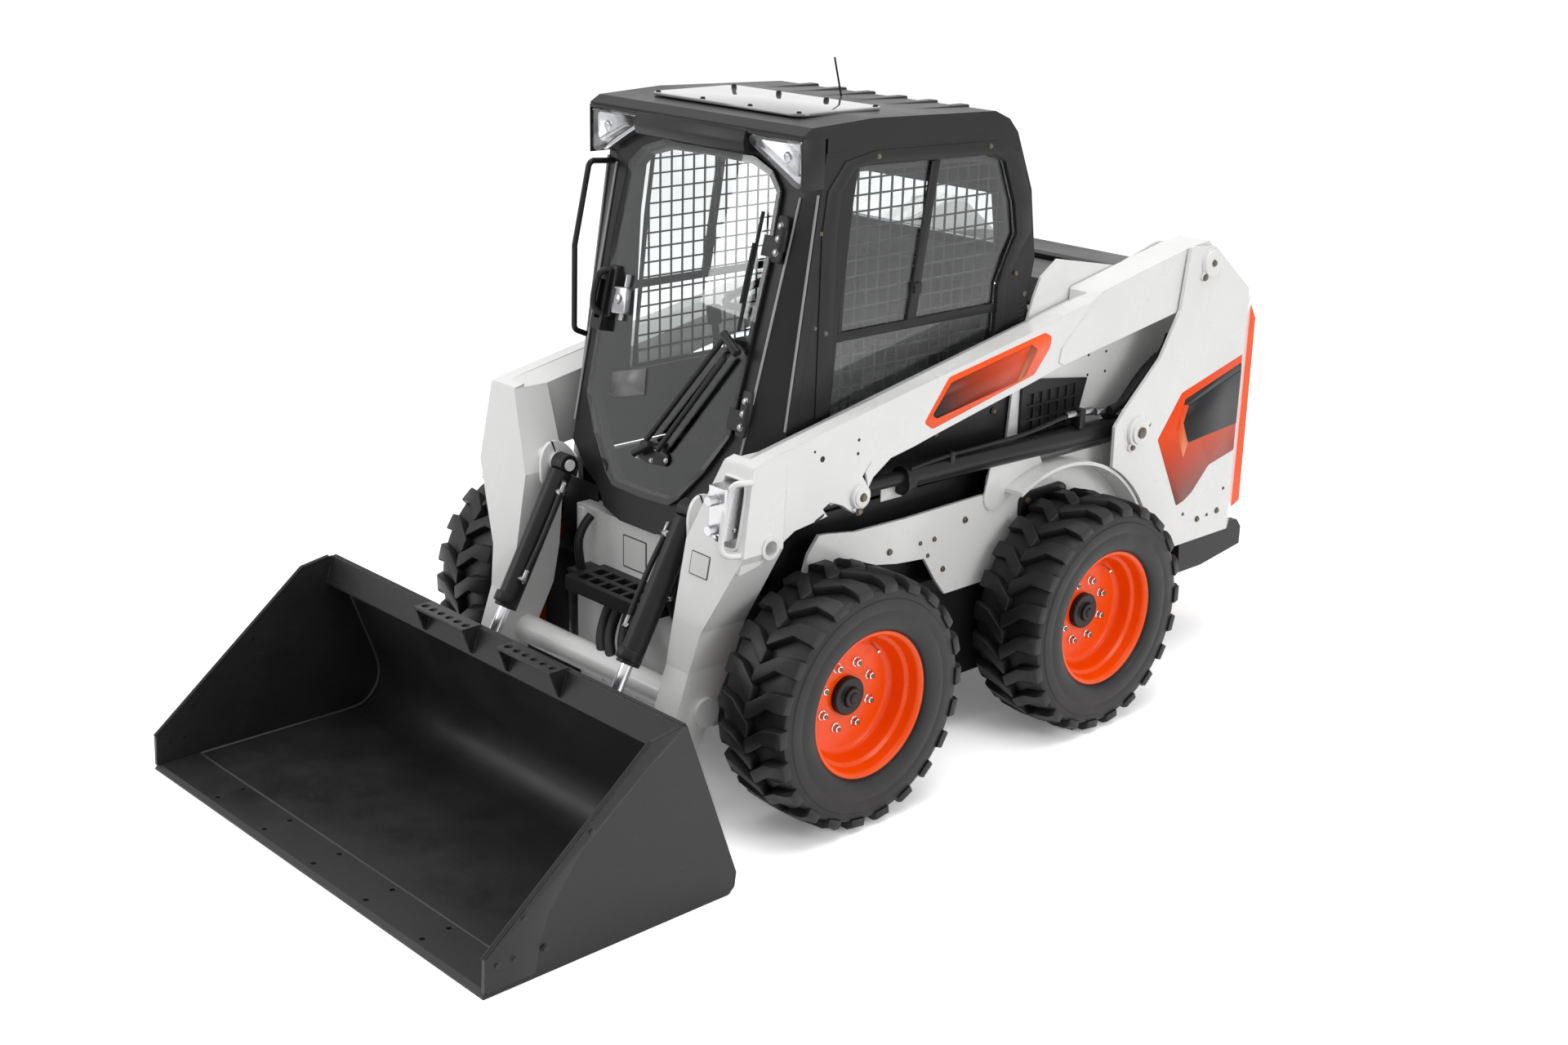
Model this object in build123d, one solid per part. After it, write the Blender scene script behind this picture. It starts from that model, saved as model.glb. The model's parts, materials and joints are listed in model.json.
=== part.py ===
"""Skid steer loader: chassis, tilting cab, lift arms, bucket, cylinders and four wheels.

Frame: +Z up, the bucket's lip points along -Y, +X is the machine's left side.
The origin is on the ground, in the middle of the whole machine's box.
Outlines seen from the side are (y, z) from the middle between the axles,
and MID_Y moves them into the frame. All sizes are in millimetres.
"""
from build123d import *
import math
import os

os.makedirs("parts", exist_ok=True)

# ---- Driving dimensions -------------------------------------------------
MID_Y = 147.0            # from the origin back to the middle between the axles
WHEELBASE = 1082.0
FIT = 0.3                # gap where a piece only seats on its neighbour
PIN_FIT = 0.5            # radial gap of a pin in its bore
RUN_GAP = 5.0            # gap between pieces that move past each other

# widths from the machine's middle, outwards from the cab
CAB_HALF = 474.0
TOWER_IN_X = CAB_HALF + 14.0      # outer face of the rear tower's inner plate
ARM_IN_X = TOWER_IN_X + RUN_GAP
ARM_OUT_X = ARM_IN_X + 122.0
ARM_REAR_OUT_X = ARM_OUT_X + 13.0
ARM_MID_X = ARM_IN_X + 59.0       # plane of the lift cylinders
TOWER_OUT_X = ARM_OUT_X + 22.0    # outer face of the rear tower's outer plate
CASE_OUT_X = ARM_IN_X + 40.0      # outer face of a chain case
TYRE_OUT_X = CASE_OUT_X + 305.0   # outer sidewall
NAVE_X = TYRE_OUT_X - 121.0       # outer face of the rim's disc

# wheels
TYRE_R = 386.0           # out to the lugs' tips
TYRE_WIDTH = 264.0
TREAD_R = 353.0          # floor between the lugs
TREAD_SIDES = 30         # flats round the tyre's body
SIDEWALL_R = 275.0       # where the sidewall reaches its full width
LUG_COUNT = 22           # on each side of the tread
LUG_FOOT_R = 340.0
LUG_SHOULDER_R = 368.0   # height of a lug's top at the shoulder
LUG_MIDDLE_X = 8.0       # how far a lug reaches past the tyre's middle
LUG_TURNS = ((-4.6, 4.6), (6.2, 12.4))  # degrees at a lug's edges: at the shoulder, at the middle
LUG_AIM = 6.0            # degrees at which a lug's top lies square to the radius
RIM_SEAT_R = 209.2
RIM_FLANGE_R = 224.0
RIM_WALL = 9.0
RIM_WIDTH = 229.0
NAVE_T = 12.0
HUB_R = 58.0
HUB_FACE = 21.0          # hub's height over the disc
NUT_R = 25.0
NUT_H = 20.0
SPINDLE_R = 30.0
STUD_CIRCLE_R = 101.6
STUD_R = 11.0
STUD_H = 20.0
STUD_COUNT = 8

# chassis
CASE_IN_X = 300.0        # inner face of a chain case
CASE_BOTTOM = 200.0
CASE_TOP = 560.0
CASE_FRONT = -690.0
CASE_REAR = 1200.0
PLATE_T = 12.0
WALL_X = 455.0           # middle of the tub's upper side wall
WALL_T = 26.0
WALL_TOP = 850.0
PANEL_Y = -712.0         # face of the front panel
PANEL_HALF = 330.0
PANEL_TOP = 745.0
PANEL_BOTTOM = 470.0
STEP_FRONT = -866.0
STEP_HALF = 192.0
STEP_TOP = 576.0
TOWER_IN_T = 9.0
TOWER_BOTTOM = 449.0
ARCH_R = 476.0           # cut of the tower's plate round the rear wheel
FENDER_R = 474.0
FENDER_T = 12.0
BUMPER_HALF = TOWER_OUT_X - 37.0
BUMPER_BOTTOM = 320.0
BUMPER_REAR = 1602.0
ENGINE_HALF = 290.0
ENGINE_FRONT = 620.0
ENGINE_REAR = 1180.0
ENGINE_TOP = 1100.0
AXLE_TUBE_R = 55.0

# pivots, (y, z)
ARM_PIVOT = (1212.0, 1439.0)
LIFT_BASE = (876.0, 912.0)
LIFT_EYE = (-409.0, 940.0)
TILT_TOP = (-783.0, 894.0)
TILT_EYE = (-1077.0, 368.0)
BUCKET_PIVOT = (-985.0, 190.0)
CAB_PIVOT = (497.0, 1345.0)
COVER_PIVOT = (1085.0, 1378.0)
COVER_PIN_R = 6.0
COVER_KNUCKLES = (-380.0, 320.0)  # x where each knuckle starts
COVER_KNUCKLE_LEN = 60.0
COVER_KNUCKLE_R = 12.0
TAIL_HALF = TOWER_OUT_X - 77.0
GATE_HINGE = (-TAIL_HALF - 14.0, 1612.0)    # x, y
GATE_KNUCKLES = (620.0, 1000.0)  # height of each knuckle's foot
KNUCKLE_LEN = 90.0
KNUCKLE_R = 12.0
GATE_PIN_R = 5.0
ARM_PIN_R = 35.0
LIFT_PIN_R = 20.0
TILT_PIN_R = 18.0
BUCKET_PIN_R = 20.0
CAB_PIN_R = 12.0

# cab
CAB_WALL = 30.0
CAB_BOTTOM = 862.0
ROOF_LOW = 1915.0
ROOF_TOP = 2000.0
ROOF_FRONT = -535.0
DOOR_Y = -661.0          # the leaning front plane's y at DOOR_Z
DOOR_Z = 1060.0
DOOR_LEAN = 14.1         # degrees
SEAL_T = 10.0
SEAL_W = 18.0
GLASS_T = 6.0
HINGE_X = 385.0
MESH_PITCH = 47.0
MESH_WIRE = 5.0

# arms
LEG_IN_X = 380.0
LEG_OUT_X = 480.0
CROSS_R = 45.0
CROSS_TUBE = (-878.0, 347.0)
TILT_X = 300.0           # plane of the tilt cylinders

TUBE_END = (-768.0, 862.0)        # open end of the upper cross tube
TUBE_END_R = 34.0
TUBE_END_BORE_R = 22.0
TUBE_END_DEPTH = 45.0
SOCKET_OUT = 15.0        # how far that end stands out of the arm
POCKET_X = (ARM_IN_X + 8.0, ARM_IN_X + 104.0)   # pocket in the left leg's face for the coupler
POCKET_HEIGHTS = (866.0, 1064.0)
POCKET_DEPTH = 40.0
POCKET_CORNER = 34.0
COUPLER_X = (ARM_IN_X + 27.0, ARM_IN_X + 92.0)
COUPLER_HEIGHTS = (930.0, 1015.0)
COUPLER_R = 15.0
COUPLER_LEN = 34.0

# cylinders: barrel radius, rod radius, eye radius, eye half width
LIFT_BARREL_R = 36.0
LIFT_ROD_R = 22.0
LIFT_EYE_R = 38.0
LIFT_BARREL_END = -170.0  # y of the barrel's front end
TILT_BARREL_R = 36.0
TILT_ROD_R = 19.0
TILT_EYE_R = 32.0
TILT_BARREL_LEN = 480.0
LIFT_ROD_START = 78.0    # from the base pin to the rod's inner end, at rest
TILT_ROD_START = 140.0
EYE_HALF = 26.0

# bucket
BUCKET_HALF = 863.5
BUCKET_SHEET = 10.0
HEEL_R = 122.0           # outer bend between floor and back, which clears the front tyres at full dump
STEP_STRIP_XS = (-300.0, 118.0)   # where each step strip on the header starts
STEP_STRIP_LEN = 250.0
STEP_STRIP_FRONT = -1346.0
STEP_STRIP_BACK = -1279.0
STEP_STRIP_Z = 550.0
GUSSET_T = 8.0
STRIP_HOLES = 6
STRIP_HOLE_R = 13.0
EDGE_T = 16.0
EDGE_BOLT_PITCH = 270.0
EDGE_BOLT_R = 8.0
EDGE_BOLT_ROWS = (-1892.0, -1809.0)
BACK_TOP = (-1272.0, 550.0)
BACK_LOW = (-1091.0, 61.0)
EDGE_LIP = -1930.0
EDGE_BACK = -1784.0


# ---- Helpers ------------------------------------------------------------
def shifted(outline):
    """Side outline (y, z) from the wheelbase's middle, moved into the frame."""
    return [(y + MID_Y, z) for y, z in outline]


def face_of(points, corner=0):
    """Flat face of a closed outline, its corners rounded by corner."""
    if corner:
        return make_face(FilletPolyline(*points, radius=corner, close=True))
    return make_face(Polyline(*points, close=True))


def side_solid(outline, x_low, x_high, corner=0):
    """Solid with this outline seen from the side, between two X planes."""
    sketch = Plane.YZ * face_of(shifted(outline), corner)
    return Pos(x_low, 0, 0) * extrude(sketch, amount=x_high - x_low)


def block(x_low, x_high, y_low, y_high, z_low, z_high):
    """Box between these planes, y from the wheelbase's middle."""
    size = (x_high - x_low, y_high - y_low, z_high - z_low)
    middle = Pos((x_low + x_high) / 2, (y_low + y_high) / 2 + MID_Y, (z_low + z_high) / 2)
    return middle * Box(*size)


def cross_rod(place, radius, x_low, x_high):
    """Cylinder along X through the side-view point place."""
    across = Rot(0, 90, 0) * Cylinder(radius, x_high - x_low, align=(Align.CENTER, Align.CENTER, Align.MIN))
    return Pos(x_low, place[0] + MID_Y, place[1]) * across


def rod_between(start, end, radius):
    """Cylinder from start to end, both (x, y, z) from the wheelbase's middle."""
    low = Vector(start[0], start[1] + MID_Y, start[2])
    high = Vector(end[0], end[1] + MID_Y, end[2])
    along = Plane(origin=low, z_dir=high - low)
    return along * Cylinder(radius, (high - low).length, align=(Align.CENTER, Align.CENTER, Align.MIN))


def upright(radius, height):
    """Cylinder standing on the origin."""
    return Cylinder(radius, height, align=(Align.CENTER, Align.CENTER, Align.MIN))


def mirrored(solid):
    return mirror(solid, about=Plane.YZ)


def pair(solid):
    """A piece on the left side and its mirror image on the right."""
    return [solid, mirrored(solid)]


def save(name, *pieces):
    """Writes one node, whose solids don't touch."""
    solids = []
    for piece in pieces:
        solids.extend(piece if isinstance(piece, list) else [piece])
    flat = [part for solid in solids for part in solid.solids()]
    export_step(flat[0] if len(flat) == 1 else Compound(children=flat), f"parts/{name}.step")


def along(a, b, distance, off=0.0):
    """Point at this distance from a towards b, and off to the left of that line, in a side view."""
    length = math.dist(a, b)
    ty, tz = (b[0] - a[0]) / length, (b[1] - a[1]) / length
    return (a[0] + ty * distance - tz * off, a[1] + tz * distance + ty * off)


# ---- Wheels -------------------------------------------------------------
AXLE_Y = {"front": -WHEELBASE / 2, "rear": WHEELBASE / 2}
TYRE_IN_X = TYRE_OUT_X - TYRE_WIDTH
TYRE_MID_X = TYRE_OUT_X - TYRE_WIDTH / 2
SEAT_HALF = RIM_WIDTH / 2 - 10.0   # half the width between the rim's flanges


def turned(profile):
    """Solid of revolution about X from (x, radius) points."""
    return revolve(Plane.XY * face_of(profile), Axis.X)


def tyre_ring(x, radius):
    """Many-sided ring round the axle at x whose flats touch this radius."""
    across = Plane(origin=(x, 0, 0), x_dir=(0, 1, 0), z_dir=(1, 0, 0))
    return across * RegularPolygon(radius / math.cos(math.pi / TREAD_SIDES), TREAD_SIDES)


def tyre_band(start, end):
    """Solid between two such rings, each given as (x, radius)."""
    return loft([tyre_ring(*start), tyre_ring(*end)], ruled=True)


def make_lug():
    """Slanting lug of the left half with a flat top, and the angle of its outermost corner."""
    shoulder_x = TYRE_WIDTH / 2 - 0.5
    (shoulder_low, shoulder_high), (middle_low, middle_high) = LUG_TURNS
    reach = TYRE_R * math.radians(middle_high - LUG_AIM)
    top = {shoulder_x: LUG_SHOULDER_R, -LUG_MIDDLE_X: math.sqrt(TYRE_R ** 2 - reach ** 2)}
    corners = [(shoulder_x, shoulder_low), (-LUG_MIDDLE_X, middle_low), (-LUG_MIDDLE_X, middle_high),
               (shoulder_x, shoulder_high)]
    foot = [Vector(x, -LUG_FOOT_R, math.radians(LUG_AIM - turn) * TYRE_R) for x, turn in corners]
    crown = [Vector(x, -top[x], math.radians(LUG_AIM - turn) * TYRE_R) for x, turn in corners]
    faces = [Face(Wire.make_polygon(points, close=True)) for points in (foot, crown)]
    tip_turn = LUG_AIM + math.degrees(math.atan(reach / top[-LUG_MIDDLE_X]))
    return Rot(LUG_AIM, 0, 0) * loft(faces, ruled=True), tip_turn


def make_tyre():
    """Tyre centred on the axle, its lugs slanting to a V, one of them standing on the ground."""
    half = TYRE_WIDTH / 2
    bead = SEAT_HALF - FIT
    body = tyre_band((-half, TREAD_R), (half, TREAD_R))
    hollow = tyre_band((bead, RIM_FLANGE_R + 2), (half + 0.01, SIDEWALL_R))
    body -= [hollow, mirrored(hollow), tyre_band((-half - 1, RIM_SEAT_R + FIT), (half + 1, RIM_SEAT_R + FIT))]
    left_lug, tip_turn = make_lug()
    right_lug = mirrored(left_lug)
    pitch = 360 / LUG_COUNT
    lugs = []
    for number in range(LUG_COUNT):
        lugs.append(Rot(pitch * number, 0, 0) * left_lug)
        lugs.append(Rot(pitch * (number + 0.5), 0, 0) * right_lug)
    to_ground = (90 - tip_turn) % (pitch / 2)
    return Pos(TYRE_MID_X, 0, 0) * Rot(to_ground, 0, 0) * body.fuse(*lugs)


def make_rim():
    """Rim with its flanges, deep disc, hub and studs, bored for the spindle."""
    half = RIM_WIDTH / 2
    inner_r = RIM_SEAT_R - RIM_WALL
    right, left = TYRE_MID_X + half, TYRE_MID_X - half
    seat_right, seat_left = TYRE_MID_X + SEAT_HALF, TYRE_MID_X - SEAT_HALF
    barrel = turned([
        (left, inner_r), (left, RIM_FLANGE_R), (seat_left, RIM_FLANGE_R), (seat_left, RIM_SEAT_R),
        (seat_right, RIM_SEAT_R), (seat_right, RIM_FLANGE_R), (right, RIM_FLANGE_R), (right, inner_r)])
    bore = SPINDLE_R + PIN_FIT
    disc = turned([
        (NAVE_X - NAVE_T, bore), (NAVE_X - NAVE_T, inner_r + 1), (NAVE_X, inner_r + 1), (NAVE_X, HUB_R),
        (NAVE_X + HUB_FACE, HUB_R), (NAVE_X + HUB_FACE, NUT_R), (NAVE_X + HUB_FACE + NUT_H, NUT_R),
        (NAVE_X + HUB_FACE + NUT_H, 0), (NAVE_X + HUB_FACE - 8, 0), (NAVE_X + HUB_FACE - 8, bore)])
    wheel = barrel + disc
    for turn in range(STUD_COUNT):
        angle = math.radians(360 * turn / STUD_COUNT)
        stud = Rot(0, 90, 0) * Cylinder(STUD_R, STUD_H, align=(Align.CENTER, Align.CENTER, Align.MIN))
        wheel += Pos(NAVE_X - 1, STUD_CIRCLE_R * math.cos(angle), STUD_CIRCLE_R * math.sin(angle)) * stud
    return wheel


tyre, rim = make_tyre(), make_rim()
for axle, y in AXLE_Y.items():
    at_axle = Pos(0, y + MID_Y, TYRE_R)
    save(f"tyre_{axle}_left", at_axle * tyre)
    save(f"rim_{axle}_left", at_axle * rim)
    save(f"tyre_{axle}_right", at_axle * mirrored(tyre))
    save(f"rim_{axle}_right", at_axle * mirrored(rim))

axles = []
for y in AXLE_Y.values():
    tube_end = NAVE_X - NAVE_T - RUN_GAP
    spindle_end = NAVE_X + HUB_FACE - 8 - RUN_GAP
    tube = cross_rod((y, TYRE_R), AXLE_TUBE_R, CASE_OUT_X, tube_end)
    axles += pair(tube + cross_rod((y, TYRE_R), SPINDLE_R, CASE_OUT_X, spindle_end))
save("axles", axles)

# ---- Chassis ------------------------------------------------------------
case = block(CASE_IN_X, CASE_OUT_X, CASE_FRONT, CASE_REAR, CASE_BOTTOM, CASE_TOP)
pan = block(-CASE_IN_X, CASE_IN_X, CASE_FRONT, CASE_REAR, CASE_BOTTOM, CASE_BOTTOM + PLATE_T)
wall = block(WALL_X - WALL_T / 2, WALL_X + WALL_T / 2, CASE_FRONT + 90, 380, CASE_TOP, WALL_TOP)
half_tub = case + wall
save("tub", half_tub + pan + mirrored(half_tub))

SIDE_PLATE = [(-563, 700), (-540, 770), (-498, 820), (-460, 817), (-346, 799), (-129, 795), (238, 800), (246, 858),
              (1040, 858), (1200, 700), (1200, 505), (63, 505), (18, 560), (-40, 645), (-161, 656), (-400, 700)]
save("side_plates", pair(side_solid(SIDE_PLATE, CASE_OUT_X, CASE_OUT_X + PLATE_T)))

panel = block(-PANEL_HALF, PANEL_HALF, PANEL_Y, PANEL_Y + PLATE_T, PANEL_BOTTOM, PANEL_TOP)
shelf = block(-PANEL_HALF, PANEL_HALF, PANEL_Y, PANEL_Y + 70, PANEL_TOP - PLATE_T, PANEL_TOP)
apron = block(-PANEL_HALF, PANEL_HALF, PANEL_Y, CASE_FRONT, CASE_BOTTOM, PANEL_BOTTOM + 30)
save("front_panel", panel + shelf + apron)

step = block(-STEP_HALF, STEP_HALF, STEP_FRONT, PANEL_Y, STEP_TOP - 45, STEP_TOP)
for column in range(6):
    middle = (column - 2.5) * 56
    step -= block(middle - 20, middle + 20, STEP_FRONT + 20, STEP_FRONT + 60, STEP_TOP - 60, STEP_TOP + 5)
    step -= block(middle - 20, middle + 20, STEP_FRONT + 80, STEP_FRONT + 120, STEP_TOP - 60, STEP_TOP + 5)
save("front_step", step)

TOWER_OUTER = [(1231, 1494), (1120, 1503), (1096, 1501), (1066, 1296), (975, 1146), (802, 995), (757, 946),
               (761, 700), (1146, TOWER_BOTTOM), (1456, TOWER_BOTTOM), (1456, 1269), (1451, 1324)]
TOWER_INNER = [(380, CASE_TOP), (380, 835), (412, 1200), (480, 1390), (510, 1450), (587, 1500), (900, 1442),
               (1100, 1500), (1231, 1490), (1420, 1350), (1456, 1269), (1456, TOWER_BOTTOM), (1225, TOWER_BOTTOM),
               (1201, CASE_TOP)]
outer_in_x = TOWER_OUT_X - PLATE_T
rear_wheel = (AXLE_Y["rear"], TYRE_R)
outer = side_solid(TOWER_OUTER, outer_in_x, TOWER_OUT_X)
outer -= cross_rod(rear_wheel, ARCH_R, outer_in_x - 1, TOWER_OUT_X + 1)
inner = side_solid(TOWER_INNER, TOWER_IN_X - TOWER_IN_T, TOWER_IN_X)
corner_plan = [(TOWER_OUT_X, 1456), (TOWER_OUT_X - PLATE_T, 1456), (TAIL_HALF - 8, 1570),
               (TAIL_HALF + 5, 1582)]
corner_face = face_of([(x, y + MID_Y) for x, y in corner_plan])
corner = Pos(0, 0, TOWER_BOTTOM) * extrude(corner_face, amount=1269 - TOWER_BOTTOM)
web = block(TOWER_IN_X, outer_in_x, 1420, 1432, TOWER_BOTTOM, 1300)
foot = block(TOWER_IN_X, outer_in_x, 1225, 1432, TOWER_BOTTOM, TOWER_BOTTOM + PLATE_T)
pins = cross_rod(ARM_PIVOT, ARM_PIN_R, TOWER_IN_X - 2, TOWER_OUT_X + 12)
pins += cross_rod(ARM_PIVOT, ARM_PIN_R + 16, TOWER_OUT_X - 1, TOWER_OUT_X + 8)
pins += cross_rod(LIFT_BASE, LIFT_PIN_R, TOWER_IN_X - 2, TOWER_OUT_X + 8)
pins += cross_rod(LIFT_BASE, LIFT_PIN_R + 22, TOWER_OUT_X - 1, TOWER_OUT_X + 6)
cab_pin = cross_rod(CAB_PIVOT, CAB_PIN_R, CAB_HALF - 44, TOWER_IN_X)
tower = outer + inner + corner + web + foot + pins + cab_pin
right_tower = mirrored(tower)
for z in GATE_KNUCKLES:
    hinge_x, hinge_y = GATE_HINGE
    right_tower += block(hinge_x - 14, hinge_x + 8, 1560, hinge_y + 8, z - 14, z - 1)
    right_tower += Pos(hinge_x, hinge_y + MID_Y, z - 2) * upright(GATE_PIN_R, KNUCKLE_LEN - 6)
save("towers", tower, right_tower)

fender_ring = cross_rod(rear_wheel, FENDER_R, CASE_OUT_X + PLATE_T, outer_in_x)
fender_ring -= cross_rod(rear_wheel, FENDER_R - FENDER_T, CASE_OUT_X, TOWER_OUT_X)
fender = fender_ring & block(CASE_OUT_X, TOWER_OUT_X, 320, 1100, 450, 900)
save("fenders", pair(fender))

BUMPER = [(1225, TOWER_BOTTOM), (1240, BUMPER_BOTTOM), (1370, BUMPER_BOTTOM), (BUMPER_REAR, 352), (BUMPER_REAR, 417),
          (1575, TOWER_BOTTOM)]
save("rear_bumper", side_solid(BUMPER, -BUMPER_HALF, BUMPER_HALF))
save("engine_block", block(-ENGINE_HALF, ENGINE_HALF, ENGINE_FRONT, ENGINE_REAR, CASE_BOTTOM + PLATE_T, ENGINE_TOP))

hood_half = TOWER_IN_X - TOWER_IN_T
HOOD = [(532, 1338), (620, 1418), (1066, 1373), (1066, 1365), (623, 1409), (538, 1332)]
hood = side_solid(HOOD, -hood_half, hood_half)
HOOD_LUG = [(1056, 1366), (1056, 1374), (1078, 1388), (1092, 1384), (1092, 1371), (1076, 1366)]
for x in COVER_KNUCKLES:
    lug = side_solid(HOOD_LUG, x - 12, x - 1) + cross_rod(COVER_PIVOT, COVER_PIN_R, x - 2, x + COVER_KNUCKLE_LEN)
    hood += lug
save("hood", hood)

screen_frame = side_solid([(440, 850), (440, 1130), (770, 1085), (700, 870)], TOWER_IN_X, TOWER_IN_X + 10)
screen = screen_frame
for column in range(6):
    for row in range(4):
        y, z = 466 + column * 42, 900 + row * 46
        screen -= block(TOWER_IN_X + 3, TOWER_IN_X + 12, y, y + 34, z, z + 38)
save("side_screens", pair(screen))

# ---- Tailgate and rear cover --------------------------------------------
TAILGATE = [(1587, 1240), (1626, 1181), (1636, 501), (1583, 480)]
gate = side_solid(TAILGATE, -TAIL_HALF, TAIL_HALF)
gate -= block(-TAIL_HALF + 20, TAIL_HALF - 20, 1560, 1612, 510, 1185)
gate -= block(-330, 330, 1600, 1650, 620, 1120)
for z in GATE_KNUCKLES:
    hinge_x, hinge_y = GATE_HINGE
    gate += Pos(hinge_x, hinge_y + MID_Y, z) * upright(KNUCKLE_R, KNUCKLE_LEN)
    gate += block(hinge_x, -TAIL_HALF + 5, hinge_y - 8, hinge_y + 8, z, z + KNUCKLE_LEN)
    gate -= Pos(hinge_x, hinge_y + MID_Y, z - 1) * upright(GATE_PIN_R + PIN_FIT, KNUCKLE_LEN + 2)
save("tailgate", gate)
louvres = [block(-330, 330, 1612, 1618, z, z + 30) for z in range(622, 1110, 50)]
grille = block(-330, 330, 1600, 1606, 620, 1120)
for part in louvres:
    grille += part
grille += block(-330, -320, 1600, 1618, 620, 1120) + block(320, 330, 1600, 1618, 620, 1120)
save("tailgate_grille", grille)
lamp = block(400, 500, 1628, 1636, 1060, 1130)
save("tail_lamps", pair(lamp))

COVER = [(1085, 1370), (1085, 1386), (1110, 1392), (1300, 1384), (1345, 1376), (1586, 1290), (1586, 1256),
         (1560, 1250), (1335, 1342), (1300, 1352), (1110, 1364)]
COVER_HALF = TOWER_IN_X - 33.0
cover = side_solid(COVER, -COVER_HALF, COVER_HALF)
for x in COVER_KNUCKLES:
    notch_low, notch_high = x - 17, x + COVER_KNUCKLE_LEN
    cover -= block(notch_low, x, 1080, 1100, 1360, 1400)
    cover += cross_rod(COVER_PIVOT, COVER_KNUCKLE_R, x, notch_high)
    cover -= cross_rod(COVER_PIVOT, COVER_PIN_R + PIN_FIT, notch_low, notch_high + 1)
save("rear_cover", cover)

# ---- Cab ----------------------------------------------------------------
lean = math.radians(DOOR_LEAN)
FRONT_PLANE = Plane(origin=(0, DOOR_Y + MID_Y, DOOR_Z), x_dir=(1, 0, 0), z_dir=(0, -math.cos(lean), math.sin(lean)))


def front_y(z):
    """y of the leaning front plane at a height."""
    return DOOR_Y + (z - DOOR_Z) * math.tan(lean)


def pillar_y(z):
    """y of the side wall's front edge at a height."""
    return -462.0 + (z - 1800.0) * 0.1625


def front_points(half_outline):
    """Closed outline on the front plane from its right half, given as (x, height)."""
    right = [(x, (z - DOOR_Z) / math.cos(lean)) for x, z in half_outline]
    left = [(-x, v) for x, v in reversed(right) if x > 0]
    return right + left


def front_solid(points, low, high, corner=0):
    """Solid on the front plane, from low to high in front of it."""
    return extrude(FRONT_PLANE.offset(low) * face_of(points, corner), amount=high - low)


POST_BACK = 35.0          # side wall's setback behind the pillar's edge
rear_low, rear_bulge, rear_high, rear_roof = (466, 1400), (488, 1512), (453, 1732), (372, ROOF_LOW)
cab_side = [(pillar_y(CAB_BOTTOM) + POST_BACK, CAB_BOTTOM), (pillar_y(ROOF_LOW) + POST_BACK, ROOF_LOW),
            rear_roof, rear_high, rear_bulge, rear_low, (rear_low[0], CAB_BOTTOM)]
WINDOW = [(-405, 1100), (-360, 1600), (-315, 1868), (235, 1856), (318, 1832), (375, 1697), (395, 1600), (318, 1450),
          (305, 1100)]
inner_x = CAB_HALF - CAB_WALL
window_cut = side_solid(WINDOW, inner_x - 1, CAB_HALF + 1, 25)
BAR_PIVOT = (380.0, 1400.0)
BAR_STUB_R = 14.0
BAR_X = CAB_HALF - 76.0           # plane of the seat bar's arms
BAR_HUB_END = BAR_X + 15.0
side_wall = side_solid(cab_side, inner_x, CAB_HALF) - window_cut
save("cab_sides", pair(side_wall + cross_rod(BAR_PIVOT, BAR_STUB_R, BAR_HUB_END + 0.5, inner_x + 1)))

pane_face = offset(face_of(shifted(WINDOW), 25), amount=-FIT)
pane = Pos(inner_x + 12, 0, 0) * extrude(Plane.YZ * pane_face, amount=GLASS_T)

rear_wall = side_solid(
    [(rear_low[0] - CAB_WALL, CAB_BOTTOM), (rear_low[0], CAB_BOTTOM), rear_low, rear_bulge, rear_high, rear_roof,
     (rear_roof[0] - CAB_WALL, ROOF_LOW), (rear_high[0] - CAB_WALL, rear_high[1] - 8),
     (rear_bulge[0] - CAB_WALL, rear_bulge[1]), (rear_low[0] - CAB_WALL, rear_low[1] + 5)], -inner_x, inner_x)
REAR_WINDOW_HALF = 330.0
rear_cut = [along(rear_bulge, rear_high, 35, 45), along(rear_bulge, rear_high, 200, 45),
            along(rear_bulge, rear_high, 200, -30), along(rear_bulge, rear_high, 35, -30)]
rear_pane = [along(rear_bulge, rear_high, 35 + FIT, 18), along(rear_bulge, rear_high, 200 - FIT, 18),
             along(rear_bulge, rear_high, 200 - FIT, 12), along(rear_bulge, rear_high, 35 + FIT, 12)]
rear_wall -= side_solid(rear_cut, -REAR_WINDOW_HALF, REAR_WINDOW_HALF)
LUG_R = 24.0
lug_line = [(440, CAB_PIVOT[1] - 20), (440, CAB_PIVOT[1] + 20), (CAB_PIVOT[0], CAB_PIVOT[1] + 20),
            (CAB_PIVOT[0], CAB_PIVOT[1] - 20)]
lug_low, lug_high = CAB_HALF - 40, CAB_HALF - CAB_WALL
lug = side_solid(lug_line, lug_low, lug_high) + cross_rod(CAB_PIVOT, LUG_R, lug_low, lug_high)
lug -= cross_rod(CAB_PIVOT, CAB_PIN_R + PIN_FIT, lug_low - 1, lug_high + 1)
save("cab_rear", rear_wall + lug + mirrored(lug))
rear_glass = side_solid(rear_pane, -REAR_WINDOW_HALF + FIT, REAR_WINDOW_HALF - FIT)
save("cab_glass", pair(pane), rear_glass)

ROOF = [(ROOF_FRONT, ROOF_LOW), (ROOF_FRONT, 1968), (-500, 1988), (-258, ROOF_TOP), (264, 1985), (330, 1958),
        (372, ROOF_LOW)]
roof = side_solid(ROOF, -CAB_HALF, CAB_HALF)
LAMP_IN = 246.0
lamp_room = block(LAMP_IN - 3, CAB_HALF + 1, ROOF_FRONT - 1, -440, ROOF_LOW - 1, 1955)
save("cab_roof", roof - lamp_room - mirrored(lamp_room))

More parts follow.
